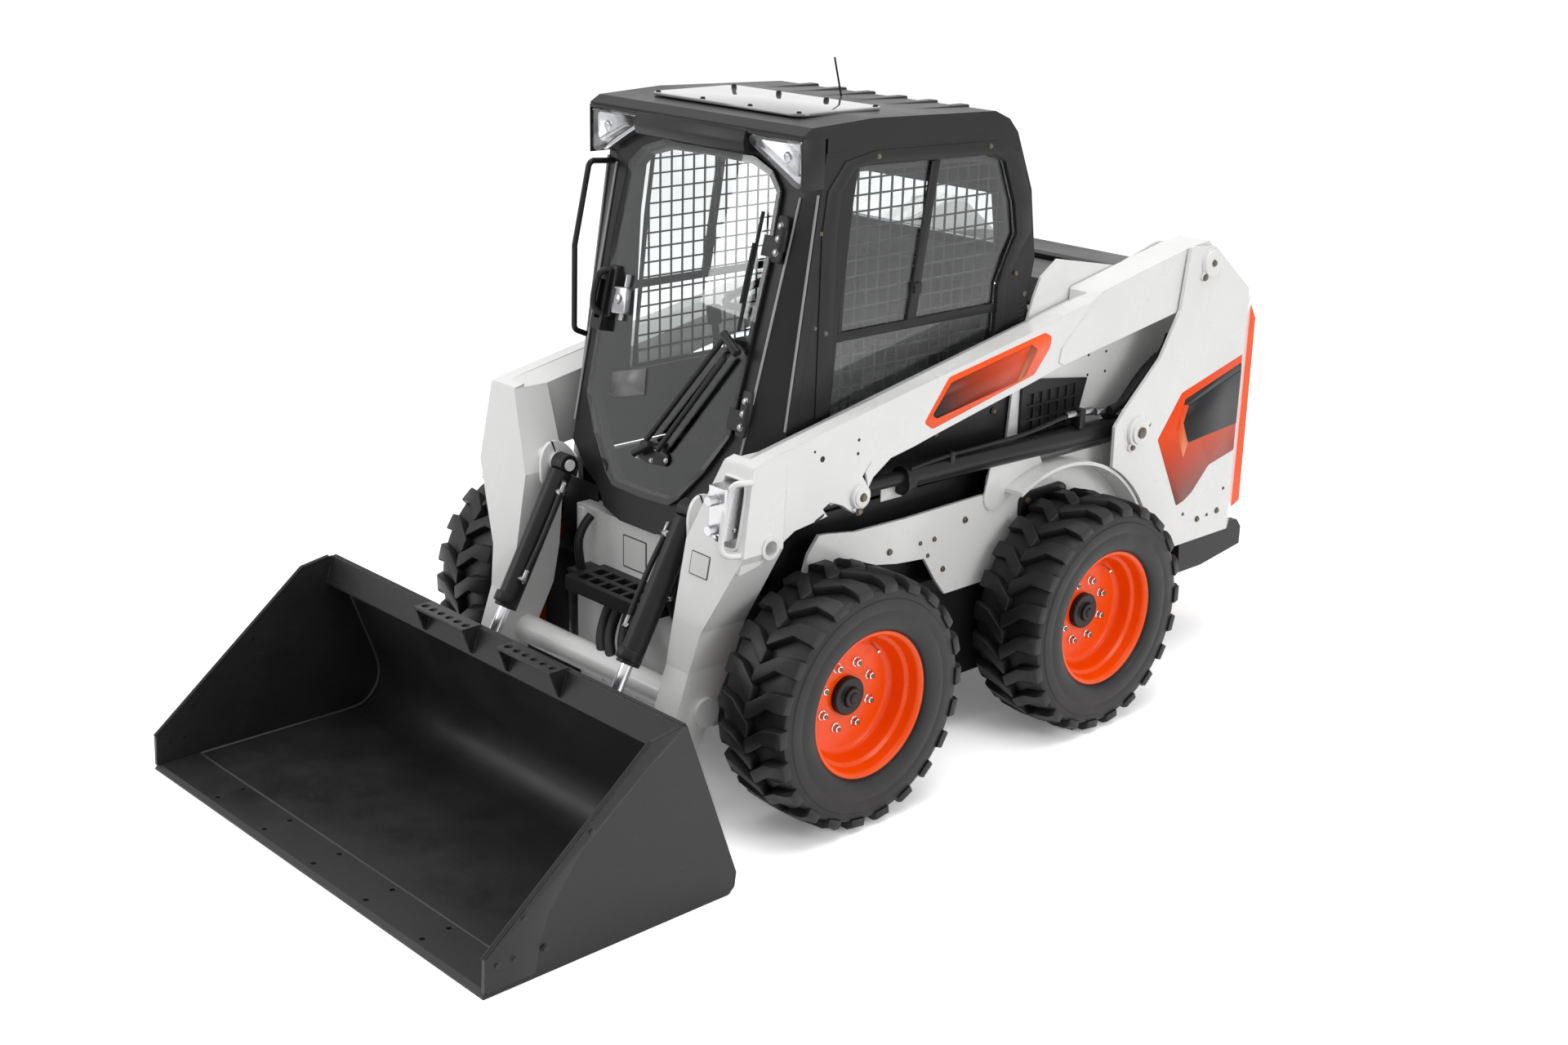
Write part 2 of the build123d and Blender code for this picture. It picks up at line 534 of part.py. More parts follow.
LAMP = [(LAMP_IN, 1955), (LAMP_IN - 3, 1927), (330, 1893), (446, 1815), (CAB_HALF, 1815), (CAB_HALF, 1955)]
lamp_face = Plane.XZ * face_of(LAMP)
lamp = Pos(0, -450 + MID_Y, 0) * extrude(lamp_face, amount=-450 - ROOF_FRONT)
behind = FRONT_PLANE.offset(FIT) * Box(1200, 2400, 200, align=(Align.CENTER, Align.CENTER, Align.MAX))
lamp = lamp - behind
save("work_lamps", pair(lamp))

FRAME_HALF = [(424, ROOF_LOW - FIT), (375, 940), (276, CAB_BOTTOM), (215, 831), (169, 778), (83, 754)]
DOOR_HALF = [(0, 1880), (200, 1876), (290, 1845), (340, 1795), (350, 1600), (334, 1094), (262, 985), (172, 881),
             (130, 850), (0, 845)]
OPENING_HALF = [(0, 1856), (190, 1852), (275, 1828), (316, 1785), (326, 1600), (310, 1100), (240, 998), (152, 893),
                (118, 872), (0, 868)]
frame_plate = front_solid(front_points(FRAME_HALF), -CAB_WALL, 0)
frame_plate -= front_solid(front_points(OPENING_HALF), -CAB_WALL - 1, 1, 20)


def post_section(z, half):
    """Corner post's section at a height, from the front plane's edge at half back to the side wall."""
    front, side = front_y(z), pillar_y(z)
    depth = CAB_WALL / math.cos(lean)
    points = [(CAB_HALF, side + POST_BACK), (CAB_HALF, side), (half, front), (half, front + depth),
              (inner_x, side + POST_BACK)]
    return Pos(0, 0, z) * face_of([(x, y + MID_Y) for x, y in points])


post = loft([post_section(z, half) for half, z in FRAME_HALF[:3]], ruled=True)
save("cab_front", frame_plate + post + mirrored(post))

SEAT_FRONT = -120.0
floor = block(-inner_x, inner_x, -250, rear_low[0] - CAB_WALL, CAB_BOTTOM, CAB_BOTTOM + 15)
floor += block(-230, 230, SEAT_FRONT + 60, 400, CAB_BOTTOM + 15, 1085)
save("cab_floor", floor)

console = block(256, 340, -200, 260, CAB_BOTTOM + 15, 1130) + block(262, 334, -60, 250, 1130, 1180)
stick = rod_between((297, -150, 1125), (297, -170, 1270), 12) + rod_between((297, -168, 1255), (297, -176, 1310), 24)
save("controls", pair(console + stick))

rest_z = 1085 + FIT
cushion = side_solid([(SEAT_FRONT, rest_z), (SEAT_FRONT, 1165), (330, 1150), (330, rest_z)], -225, 225, 15)
backrest = side_solid([(331, rest_z), (400, rest_z), (428, 1600), (352, 1610)], -215, 215, 20)
save("seat", cushion, backrest)

mesh_x = inner_x - 8
GUARD = [(-395, 1110), (-345, 1600), (-305, 1858), (235, 1846), (310, 1822), (365, 1697), (385, 1600), (318, 1450),
         (305, 1110)]
guard_area = side_solid(GUARD, mesh_x, inner_x)
guard_middle = (0, 1480)
guard_hole = [along(guard_middle, p, math.dist(guard_middle, p) - 14) for p in GUARD]
guard = guard_area - side_solid(guard_hole, mesh_x - 1, inner_x + 1)
wires = None
for column in range(-8, 9):
    y = column * MESH_PITCH
    wire = block(mesh_x, mesh_x + MESH_WIRE, y - MESH_WIRE / 2, y + MESH_WIRE / 2, 1105, 1865)
    wires = wire if wires is None else wires + wire
for row in range(17):
    z = 1120 + row * MESH_PITCH
    wires += block(mesh_x, mesh_x + MESH_WIRE, -400, 390, z - MESH_WIRE / 2, z + MESH_WIRE / 2)
guard += wires & guard_area
save("window_guards", pair(guard))

RAIL_X = 44.0 - CAB_HALF
rail_path = [(RAIL_X, -478.4, 1788), (RAIL_X, -575, 1795), (RAIL_X, -635, 1540), (RAIL_X, -640, 1275),
             (RAIL_X, -594.4, 1255)]
rail_line = FilletPolyline(*[(x, y + MID_Y, z) for x, y, z in rail_path], radius=22)
rail = sweep(Plane(origin=rail_line @ 0, z_dir=rail_line % 0) * Circle(9), path=rail_line)
save("grab_rail", rail)
save("antenna", rod_between((0, 78, ROOF_TOP - 8), (0, 44, 2113), 3))

bar_corners = [(BAR_X, *BAR_PIVOT), (BAR_X, -70, 1290), (-BAR_X, -70, 1290), (-BAR_X, *BAR_PIVOT)]
bar_line = FilletPolyline(*[(x, y + MID_Y, z) for x, y, z in bar_corners], radius=70)
bar = sweep(Plane(origin=bar_line @ 0, z_dir=bar_line % 0) * Circle(13), path=bar_line)
bar_hub = cross_rod(BAR_PIVOT, 26, BAR_HUB_END - 31, BAR_HUB_END)
bar += bar_hub + mirrored(bar_hub)
save("seat_bar", bar)

# ---- Door ---------------------------------------------------------------
door_points = front_points(DOOR_HALF)
glass_low = SEAL_T + FIT
door_glass = front_solid(door_points, glass_low, glass_low + GLASS_T, 24)
seal = front_solid(door_points, FIT, glass_low, 24)
seal_hole = offset(face_of(door_points, 24), amount=-SEAL_W)
seal -= extrude(FRONT_PLANE.offset(FIT - 1) * seal_hole, amount=SEAL_T + 2)
save("door_glass", door_glass)
save("door_seal", seal)


def on_front(x, z, out):
    """Place on the front plane at a height, out in front of it."""
    return FRONT_PLANE * Pos(x, (z - DOOR_Z) / math.cos(lean), out)


fittings = []
glass_face = glass_low + GLASS_T
for z in (1150, 1640):
    leaf = on_front(HINGE_X - 32, z, glass_face + 4) * Box(64, 60, 8)
    barrel = on_front(HINGE_X, z, glass_low + 3) * Rot(90, 0, 0) * Cylinder(11, 60)
    fittings.append(leaf + barrel)
handle = on_front(-320, 1380, glass_face + 14) * Box(50, 190, 28)
handle -= on_front(-320, 1380, glass_face + 20) * Box(26, 120, 20)
fittings.append(handle)
save("door_fittings", fittings)

# ---- Lift arms ----------------------------------------------------------
BEAM = [(-824, 1103), (-749, 1121), (-493, 1172), (-195, 1226), (356, 1326), (629, 1384), (663, 1405), (1120, 1497),
        (1225, 1508), (1295, 1440), (1240, 1365), (1091, 1288),
        (499, 1192), (175, 1163), (-333, 1061), (-370, 1031), (-398, 998), (-365, 950), (-385, 900), (-430, 892),
        (-476, 925), (-527, 945), (-556, 930), (-536, 905), (-665, 888), (-744, 845), (-798, 814), (-872, 800),
        (-868, 850)]
PROUD = [(490, 1194), (466, 1204), (475, 1250), (629, 1379), (663, 1402), (1110, 1490), (1110, 1300), (1091, 1290)]
SKIRT = [(-372, 958), (-353, 987), (-282, 1032), (-181, 1050), (-105, 1067), (102, 1110), (252, 1140), (363, 1163),
         (499, 1194), (499, 1230), (-300, 1110), (-385, 1010)]
SKIRT_T = 8
# the beam's top falls away towards the cab: y, height at the inner face, height where the slope ends
TOP_SLOPE = [(-790, 1082, 1112), (651, 1363, 1394)]
SLOPE_WIDTH = 70
beam = side_solid(BEAM, ARM_IN_X, ARM_OUT_X)
beam += side_solid(PROUD, ARM_OUT_X - 1, ARM_REAR_OUT_X - 8)
beam += side_solid(SKIRT, ARM_OUT_X - SKIRT_T, ARM_OUT_X)
slope_ends = []
for y, low, high in TOP_SLOPE:
    corners = [(ARM_IN_X - 1, low), (ARM_IN_X + SLOPE_WIDTH, high), (ARM_IN_X + SLOPE_WIDTH, high + 50),
               (ARM_IN_X - 1, high + 50)]
    slope_ends.append(Plane.XZ.offset(-y - MID_Y) * face_of(corners))
beam -= loft(slope_ends, ruled=True)
beam -= cross_rod(ARM_PIVOT, ARM_PIN_R + PIN_FIT, ARM_IN_X - 1, ARM_REAR_OUT_X)
SLOT_HALF = EYE_HALF + RUN_GAP
slot = block(ARM_MID_X - SLOT_HALF, ARM_MID_X + SLOT_HALF, -470, -150, 780, 1000)
beam -= slot
# sections of the leg: height, inner x, outer x, front y, rear y
LEG = [
    (1100, ARM_IN_X, ARM_OUT_X, -828, -700),
    (852, LEG_IN_X + 4, ARM_OUT_X + 12, -870, -720),
    (605, LEG_IN_X - 1, LEG_OUT_X + 22, -915, -745),
    (480, LEG_IN_X, LEG_OUT_X, -940, -770),
    (240, LEG_IN_X, LEG_OUT_X, -1025, -900),
]


def leg_section(z, x_in, x_out, front, rear):
    corners = [(x_in, front), (x_out, front), (x_out, rear), (x_in, rear)]
    return Pos(0, 0, z) * face_of([(x, y + MID_Y) for x, y in corners])


leg = None
for high, low in zip(LEG[:-1], LEG[1:]):
    piece = loft([leg_section(*high), leg_section(*low)], ruled=True)
    leg = piece if leg is None else leg + piece
toe = side_solid([(-1025, 240), (-900, 240), (-945, 165), (-1010, 155)], LEG_IN_X, LEG_OUT_X)
leg += toe + cross_rod(BUCKET_PIVOT, 44, LEG_IN_X, LEG_OUT_X)
leg -= cross_rod(BUCKET_PIVOT, BUCKET_PIN_R + PIN_FIT, LEG_IN_X - 1, LEG_OUT_X + 1)
leg -= cross_rod(CROSS_TUBE, CROSS_R, LEG_IN_X - 1, LEG_OUT_X + 1)
tube = cross_rod(TILT_TOP, 26, TILT_X + EYE_HALF + RUN_GAP, ARM_OUT_X - 1)
tube_out_x = ARM_OUT_X + SOCKET_OUT
arm = beam + leg + tube + cross_rod(TUBE_END, TUBE_END_R, ARM_OUT_X - TUBE_END_DEPTH, tube_out_x)
arm -= cross_rod(TUBE_END, TUBE_END_BORE_R, tube_out_x - TUBE_END_DEPTH, tube_out_x + 1)
arm += cross_rod(TILT_TOP, TILT_PIN_R, TILT_X - EYE_HALF - 6, TILT_X + EYE_HALF + 8)

PLATE_SLOPE = (LEG[1][3] - LEG[0][3]) / (LEG[1][0] - LEG[0][0])


def plate_y(z):
    """y of the leg's leaning upper face at a height."""
    return LEG[0][3] + (z - LEG[0][0]) * PLATE_SLOPE


pocket_z = sum(POCKET_HEIGHTS) / 2
pocket_face = Plane(origin=(sum(POCKET_X) / 2, plate_y(pocket_z) + MID_Y, pocket_z), x_dir=(1, 0, 0),
                    z_dir=(0, -1, PLATE_SLOPE))
pocket_size = (POCKET_X[1] - POCKET_X[0], POCKET_HEIGHTS[1] - POCKET_HEIGHTS[0])
pocket_shape = pocket_face * RectangleRounded(*pocket_size, POCKET_CORNER)
pocket = extrude(pocket_shape, amount=POCKET_DEPTH, both=True)
save("arm_left", arm - pocket)
save("arm_right", mirrored(arm))
save("arm_cross_tube", cross_rod(CROSS_TUBE, CROSS_R, -LEG_OUT_X - 14, LEG_OUT_X + 14))

floor_gap = POCKET_DEPTH * math.sqrt(1 + PLATE_SLOPE ** 2) - FIT
coupler_back = [(plate_y(z) + floor_gap, z) for z in (1050, 900)]
coupler = side_solid([(-905, 900), (-905, 1050)] + coupler_back, *COUPLER_X)
for z in COUPLER_HEIGHTS:
    nose = Rot(90, 0, 0) * Cylinder(COUPLER_R, COUPLER_LEN, align=(Align.CENTER, Align.CENTER, Align.MIN))
    coupler += Pos(sum(COUPLER_X) / 2, -905 + MID_Y, z) * nose
save("coupler_block", coupler)


# ---- Cylinders ----------------------------------------------------------
def cylinder(base, eye, x, barrel_r, rod_r, eye_r, barrel_len, rod_start, base_pin):
    """Barrel and rod of a cylinder lying from its base pin to its rod's eye."""
    barrel_end = along(base, eye, barrel_len)
    start = along(base, eye, eye_r - 6)
    barrel = rod_between((x, *start), (x, *barrel_end), barrel_r)
    barrel += cross_rod(base, eye_r, x - EYE_HALF, x + EYE_HALF)
    barrel -= cross_rod(base, base_pin + PIN_FIT, x - EYE_HALF - 1, x + EYE_HALF + 1)
    reach = math.dist(base, eye)
    hollow_start = along(base, eye, eye_r + 20)
    bore = rod_between((x, *hollow_start), (x, *along(base, eye, barrel_len + 5)), rod_r + PIN_FIT)
    barrel -= bore
    rod = rod_between((x, *along(base, eye, rod_start)), (x, *along(base, eye, reach - eye_r + 6)), rod_r)
    rod += cross_rod(eye, eye_r, x - EYE_HALF, x + EYE_HALF)
    rod -= cross_rod(eye, base_pin + PIN_FIT, x - EYE_HALF - 1, x + EYE_HALF + 1)
    return barrel, rod


lift_len = LIFT_BASE[0] - LIFT_BARREL_END
lift = cylinder(LIFT_BASE, LIFT_EYE, ARM_MID_X, LIFT_BARREL_R, LIFT_ROD_R, LIFT_EYE_R,
                lift_len, LIFT_ROD_START, LIFT_PIN_R)
tilt = cylinder(TILT_TOP, TILT_EYE, TILT_X, TILT_BARREL_R, TILT_ROD_R, TILT_EYE_R,
                TILT_BARREL_LEN, TILT_ROD_START, TILT_PIN_R)
for name, (barrel, rod) in (("lift", lift), ("tilt", tilt)):
    save(f"{name}_barrel_left", barrel)
    save(f"{name}_rod_left", rod)
    save(f"{name}_barrel_right", mirrored(barrel))
    save(f"{name}_rod_right", mirrored(rod))

# ---- Quick attach and bucket --------------------------------------------
def at_height(a, b, z):
    """Side-view point where the line through a and b reaches a height."""
    share = (z - a[1]) / (b[1] - a[1])
    return (a[0] + (b[0] - a[0]) * share, z)


def back(s, n):
    """Side-view point s up the bucket's back and n behind it."""
    return along(BACK_LOW, BACK_TOP, s, -n)


EAR_T = 12.0
attach = side_solid([back(20, 0), back(430, 0), back(430, 14), back(20, 14)], -500, 500)
attach -= side_solid([back(60, -1), back(390, -1), back(390, 15), back(60, 15)], -335, 335)
attach += side_solid([back(395, 0), back(455, 0), back(455, 40), back(395, 40)], -500, 500)
ear_outline = [back(25, 10), back(430, 10), back(300, 60), BUCKET_PIVOT, back(25, 60)]
for x in (LEG_IN_X - RUN_GAP - EAR_T, LEG_OUT_X + RUN_GAP):
    ear = side_solid(ear_outline, x, x + EAR_T) + cross_rod(BUCKET_PIVOT, 40, x, x + EAR_T)
    attach += ear + mirrored(ear)
pin = cross_rod(BUCKET_PIVOT, BUCKET_PIN_R, LEG_IN_X - RUN_GAP - EAR_T, LEG_OUT_X + RUN_GAP + EAR_T)
attach += pin + mirrored(pin)
save("quick_attach", attach)

heel = at_height(BACK_LOW, BACK_TOP, 0)
heel_inside = at_height(back(0, -BUCKET_SHEET), back(100, -BUCKET_SHEET), BUCKET_SHEET)
top_inside = back(math.dist(BACK_LOW, BACK_TOP), -BUCKET_SHEET)
outer_line = FilletPolyline(*shifted([(EDGE_BACK, 0), heel, BACK_TOP]), radius=HEEL_R)
inner_points = [(EDGE_BACK, BUCKET_SHEET), heel_inside, top_inside]
inner_line = FilletPolyline(*shifted(inner_points), radius=HEEL_R - BUCKET_SHEET)
skin_ends = [Line(*shifted([BACK_TOP, top_inside])), Line(*shifted([(EDGE_BACK, 0), (EDGE_BACK, BUCKET_SHEET)]))]
skin_face = make_face(outer_line.edges() + inner_line.edges() + skin_ends)
HEADER = [BACK_TOP, (-1286, 551), (-1313, 468), (-1306, 458), (-1236, 436)]
GUSSET = [(-1284, STEP_STRIP_Z + 1), (STEP_STRIP_FRONT + 4, STEP_STRIP_Z + 1), (-1316, 478), (-1305, 470)]
CHEEK = [(-1928, EDGE_T + FIT), (-1923, 108), (-1395, 535), (-1300, 551), BACK_TOP, BACK_LOW, (-1097, 18),
         (-1120, 0), (EDGE_BACK, 0), (EDGE_BACK, EDGE_T + FIT)]
cheek_in = BUCKET_HALF - BUCKET_SHEET
skin = Pos(-cheek_in, 0, 0) * extrude(Plane.YZ * skin_face, amount=2 * cheek_in)
header = side_solid(HEADER, -cheek_in, cheek_in)
cheek = side_solid(CHEEK, cheek_in, BUCKET_HALF)
bucket = skin + header + cheek + mirrored(cheek)
for strip_x in STEP_STRIP_XS:
    strip_end = strip_x + STEP_STRIP_LEN
    strip = block(strip_x, strip_end, STEP_STRIP_FRONT, STEP_STRIP_BACK, STEP_STRIP_Z, STEP_STRIP_Z + GUSSET_T)
    hole_y = (STEP_STRIP_FRONT + STEP_STRIP_BACK) / 2 - 5
    for number in range(STRIP_HOLES):
        hole_x = strip_x + STEP_STRIP_LEN * (number + 0.5) / STRIP_HOLES
        strip -= Pos(hole_x, hole_y + MID_Y, STEP_STRIP_Z) * upright(STRIP_HOLE_R, GUSSET_T + 1)
    gussets = [side_solid(GUSSET, x, x + GUSSET_T) for x in (strip_x, strip_end - GUSSET_T)]
    bucket += [strip] + gussets
save("bucket", bucket)

edge = side_solid([(EDGE_LIP, 0), (EDGE_LIP, 5), (EDGE_LIP + 14, EDGE_T), (EDGE_BACK, EDGE_T), (EDGE_BACK, 0)],
                  -BUCKET_HALF, BUCKET_HALF)
for y in EDGE_BOLT_ROWS:
    for column in range(-2, 3):
        hole = Pos(column * EDGE_BOLT_PITCH, y + MID_Y, EDGE_T / 2) * Cylinder(EDGE_BOLT_R, EDGE_T + 2)
        edge -= hole
save("cutting_edge", edge)
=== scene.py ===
"""Skid steer loader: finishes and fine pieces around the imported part, in metres.

+Z is up, the bucket's lip points along -Y and +X is the machine's left side.
"""
import json
import math

import bpy
from mathutils import Matrix, Vector


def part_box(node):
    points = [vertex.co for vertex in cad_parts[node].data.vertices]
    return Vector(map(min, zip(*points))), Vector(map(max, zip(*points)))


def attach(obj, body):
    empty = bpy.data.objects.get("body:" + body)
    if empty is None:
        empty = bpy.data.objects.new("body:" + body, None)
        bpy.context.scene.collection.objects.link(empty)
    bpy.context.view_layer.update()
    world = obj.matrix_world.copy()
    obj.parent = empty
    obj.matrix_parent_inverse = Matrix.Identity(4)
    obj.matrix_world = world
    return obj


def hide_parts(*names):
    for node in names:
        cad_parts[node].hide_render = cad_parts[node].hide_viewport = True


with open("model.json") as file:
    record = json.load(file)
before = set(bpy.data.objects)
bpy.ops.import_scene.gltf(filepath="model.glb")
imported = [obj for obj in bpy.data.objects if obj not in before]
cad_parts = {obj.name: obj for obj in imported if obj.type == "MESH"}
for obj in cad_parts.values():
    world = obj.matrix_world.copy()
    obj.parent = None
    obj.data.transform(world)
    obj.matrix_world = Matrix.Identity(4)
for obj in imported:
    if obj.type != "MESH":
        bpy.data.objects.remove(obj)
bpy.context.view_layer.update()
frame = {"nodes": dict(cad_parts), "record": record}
NODES = frame["nodes"]
MM = 0.001
MID_Y = 147.0                 # millimetres from the origin back to the middle between the axles


# ---- Shader nodes -------------------------------------------------------
def feed(tree, socket, value):
    """Links the value where it is a socket, or else sets it."""
    if isinstance(value, bpy.types.NodeSocket):
        tree.links.new(value, socket)
    else:
        socket.default_value = value


def node(tree, kind, **values):
    """New node; keywords set its properties, or feed its inputs where the name is an input's."""
    made = tree.nodes.new("ShaderNode" + kind)
    for name, value in values.items():
        if hasattr(made, name):
            setattr(made, name, value)
        else:
            feed(tree, made.inputs[name.replace("_", " ")], value)
    return made


def reckon(tree, operation, first, second, kind="Math"):
    """Result of a sum, product or other step on two sockets or values."""
    step = node(tree, kind, operation=operation)
    feed(tree, step.inputs[0], first)
    feed(tree, step.inputs[1], second)
    return step.outputs["Value" if kind == "Math" or operation == "DOT_PRODUCT" else "Vector"]


def spread(tree, value, low, high, start=0.0, end=1.0):
    """Low at the value start, high at the value end."""
    made = node(tree, "MapRange", Value=value, From_Min=start, From_Max=end, To_Min=low, To_Max=high)
    return made.outputs["Result"]


def seen_rays(tree):
    """1 for rays that the eye follows: camera, glossy and transmission rays."""
    path = node(tree, "LightPath")
    total = path.outputs["Is Camera Ray"]
    for name in ("Is Glossy Ray", "Is Transmission Ray"):
        total = reckon(tree, "MAXIMUM", total, path.outputs[name])
    return total


# ---- Camera, stage and light --------------------------------------------
ROOM_LIGHT = 0.56        # strength of the room's light on the object
SEEN_WHITE = 1.0         # strength that the camera sees behind it
FLOOR_SIZE = 60.0
FLOOR_TONE = 0.8         # share of the light that the floor returns to the object
FLOOR_GAIN = 1.70        # share of the light that the floor seems to return where it is seen
FLOOR_LIFT = 0.12        # light added to the floor where it is seen
LAMPS = {                # place, aim, width and height in metres, power in watts
    "top_box": ((0.5, -0.5, 6.0), (0, 0, 0.5), (5, 5), 190),
    "front_box": ((-3.5, -5.5, 3.4), (0, -0.4, 0.8), (3, 2.5), 90),
    "side_box": ((6.5, 1.5, 3.0), (0, 0.2, 0.8), (3, 2.5), 105),
}


def place_camera(azimuth, elevation, roll, position, lens):
    """Camera looking along azimuth (0 is +Y, 90 is -X), down by elevation."""
    turn, dip, tilt = (math.radians(angle) for angle in (azimuth, elevation, roll))
    forward = Vector((-math.sin(turn) * math.cos(dip), math.cos(turn) * math.cos(dip), -math.sin(dip)))
    right = Vector((math.cos(turn), math.sin(turn), 0))
    up = right.cross(forward)
    right_rolled = right * math.cos(tilt) + up * math.sin(tilt)
    up_rolled = up * math.cos(tilt) - right * math.sin(tilt)
    data = bpy.data.cameras.new("view_camera")
    data.lens, data.sensor_width, data.clip_end = lens, 36.0, 200.0
    camera = bpy.data.objects.new("view_camera", data)
    bpy.context.collection.objects.link(camera)
    axes = Matrix((right_rolled, up_rolled, -forward)).transposed().to_4x4()
    camera.matrix_world = Matrix.Translation(position) @ axes
    bpy.context.scene.camera = camera


def make_world():
    world = bpy.data.worlds.new("studio")
    world.use_nodes = True
    tree = world.node_tree
    background = tree.nodes["Background"]
    background.inputs["Color"].default_value = (1, 1, 1, 1)
    feed(tree, background.inputs["Strength"], spread(tree, seen_rays(tree), ROOM_LIGHT, SEEN_WHITE))
    bpy.context.scene.world = world


def make_floor():
    deselect()
    bpy.ops.mesh.primitive_plane_add(size=FLOOR_SIZE)
    floor = bpy.context.object
    floor.name = "floor"
    material = bpy.data.materials.new("stage_floor")
    material.use_nodes = True
    tree = material.node_tree
    tree.nodes.remove(tree.nodes["Principled BSDF"])
    matt = node(tree, "BsdfDiffuse", Color=spread(tree, seen_rays(tree), FLOOR_TONE, FLOOR_GAIN))
    lift = node(tree, "Emission", Strength=reckon(tree, "MULTIPLY", seen_rays(tree), FLOOR_LIFT))
    both = node(tree, "AddShader")
    feed(tree, both.inputs[0], matt.outputs[0])
    feed(tree, both.inputs[1], lift.outputs[0])
    feed(tree, tree.nodes["Material Output"].inputs["Surface"], both.outputs[0])
    floor.data.materials.append(material)


def add_light(name, place, aim, size, power):
    data = bpy.data.lights.new(name, "AREA")
    data.shape, data.size, data.size_y, data.energy = "RECTANGLE", size[0], size[1], power
    light = bpy.data.objects.new(name, data)
    bpy.context.collection.objects.link(light)
    light.location = place
    light.rotation_euler = (Vector(aim) - Vector(place)).to_track_quat("-Z", "Y").to_euler()


def deselect():
    if bpy.context.object and bpy.context.object.mode != "OBJECT":
        bpy.ops.object.mode_set(mode="OBJECT")
    bpy.ops.object.select_all(action="DESELECT")


place_camera(azimuth=46.40, elevation=18.49, roll=1.43, position=(4.4944, -4.2549, 2.7143), lens=46.196)
bpy.context.scene.view_settings.view_transform = "Standard"
make_world()
make_floor()
for lamp, settings in LAMPS.items():
    add_light(lamp, *settings)


# ---- Effects shared by several materials --------------------------------
FLOAT, VECTOR = "NodeSocketFloat", "NodeSocketVector"


def new_group(name, inputs, outputs):
    """Empty node group; inputs are (name, kind, default) and outputs (name, kind)."""
    group = bpy.data.node_groups.new(name, "ShaderNodeTree")
    for socket, kind, default in inputs:
        made = group.interface.new_socket(socket, in_out="INPUT", socket_type=kind)
        made.default_value = default
    for socket, kind in outputs:
        group.interface.new_socket(socket, in_out="OUTPUT", socket_type=kind)
    return group, group.nodes.new("NodeGroupInput").outputs, group.nodes.new("NodeGroupOutput").inputs


def worn_edges_group():
    """Mask of a piece's convex and hollow edges, and the normal that rounds them."""
    group, given, out = new_group(
        "worn_edges", [("Radius", FLOAT, 0.004), ("Breakup", FLOAT, 60.0), ("Amount", FLOAT, 0.5)],
        [("Mask", FLOAT), ("Normal", VECTOR)])
    rounded = node(group, "Bevel", samples=4, Radius=given["Radius"]).outputs[0]
    flat = node(group, "NewGeometry").outputs["Normal"]
    edge = spread(group, reckon(group, "DOT_PRODUCT", rounded, flat, "VectorMath"), 0.0, 1.0, 0.985, 0.80)
    place = node(group, "TexCoord").outputs["Object"]
    patches = node(group, "TexNoise", Detail=3.0, Vector=place, Scale=given["Breakup"]).outputs["Fac"]
    broken = reckon(group, "MULTIPLY", edge, spread(group, patches, 0.0, 1.0, 0.42, 0.62))
    feed(group, out["Mask"], reckon(group, "MULTIPLY", broken, given["Amount"]))
    feed(group, out["Normal"], rounded)
    return group


def grain_group():
    """Fine height, broad patches and small specks on object coordinates."""
    group, given, out = new_group(
        "grain", [("Fine", FLOAT, 400.0), ("Broad", FLOAT, 3.0), ("Stretch", VECTOR, (1, 1, 1))],
        [("Height", FLOAT), ("Patches", FLOAT), ("Specks", FLOAT)])
    place = node(group, "TexCoord").outputs["Object"]
    stretched = reckon(group, "MULTIPLY", place, given["Stretch"], "VectorMath")
    fine = node(group, "TexNoise", Detail=4.0, Roughness=0.6, Vector=stretched, Scale=given["Fine"])
    broad = node(group, "TexNoise", Detail=6.0, Roughness=0.62, Vector=place, Scale=given["Broad"])
    specks = node(group, "TexVoronoi", Vector=place, Scale=given["Fine"])
    feed(group, out["Height"], fine.outputs["Fac"])
    feed(group, out["Patches"], broad.outputs["Fac"])
    feed(group, out["Specks"], spread(group, specks.outputs["Distance"], 0.0, 1.0, 0.16, 0.06))
    return group


def scratch_group():
    """Thin scratches in two directions."""
    group, given, out = new_group(
        "scratches", [("Scale", FLOAT, 14.0), ("Amount", FLOAT, 0.5)], [("Mask", FLOAT)])
    place = node(group, "TexCoord").outputs["Object"]
    lines = []
    for turn, squeeze in ((0.35, (1, 22, 22)), (-0.5, (26, 1.2, 26))):
        turned = node(group, "Mapping", Vector=place, Scale=squeeze, Rotation=(turn * 0.3, turn * 0.4, turn))
        streaks = node(group, "TexNoise", Detail=2.0, Vector=turned.outputs[0], Scale=given["Scale"])
        lines.append(spread(group, streaks.outputs["Fac"], 0.0, 1.0, 0.66, 0.74))
    feed(group, out["Mask"], reckon(group, "MULTIPLY", reckon(group, "MAXIMUM", *lines), given["Amount"]))
    return group


WORN_EDGES, GRAIN, SCRATCHES = worn_edges_group(), grain_group(), scratch_group()


# ---- Materials ----------------------------------------------------------
PATCH_LOW, PATCH_HIGH = 0.3, 0.7          # range of the grain's patches that a finish runs over


def use_group(tree, group, **values):
    """Outputs of the group, placed with its own values."""
    made = tree.nodes.new("ShaderNodeGroup")
    made.node_tree = group
    for name, value in values.items():
        made.inputs[name].default_value = value
    return made.outputs


def blend_colour(tree, share, low, high):
    """Colour between low and high (a colour or a socket) by a share socket."""
    mix = node(tree, "Mix", data_type="RGBA", Factor=share)
    for socket, value in ((mix.inputs[6], low), (mix.inputs[7], high)):
        feed(tree, socket, value if isinstance(value, bpy.types.NodeSocket) else (*value, 1))
    return mix.outputs[2]


def new_material(name):
    material = bpy.data.materials.new(name)
    material.use_nodes = True
    tree = material.node_tree
    return material, tree, tree.nodes["Principled BSDF"].inputs


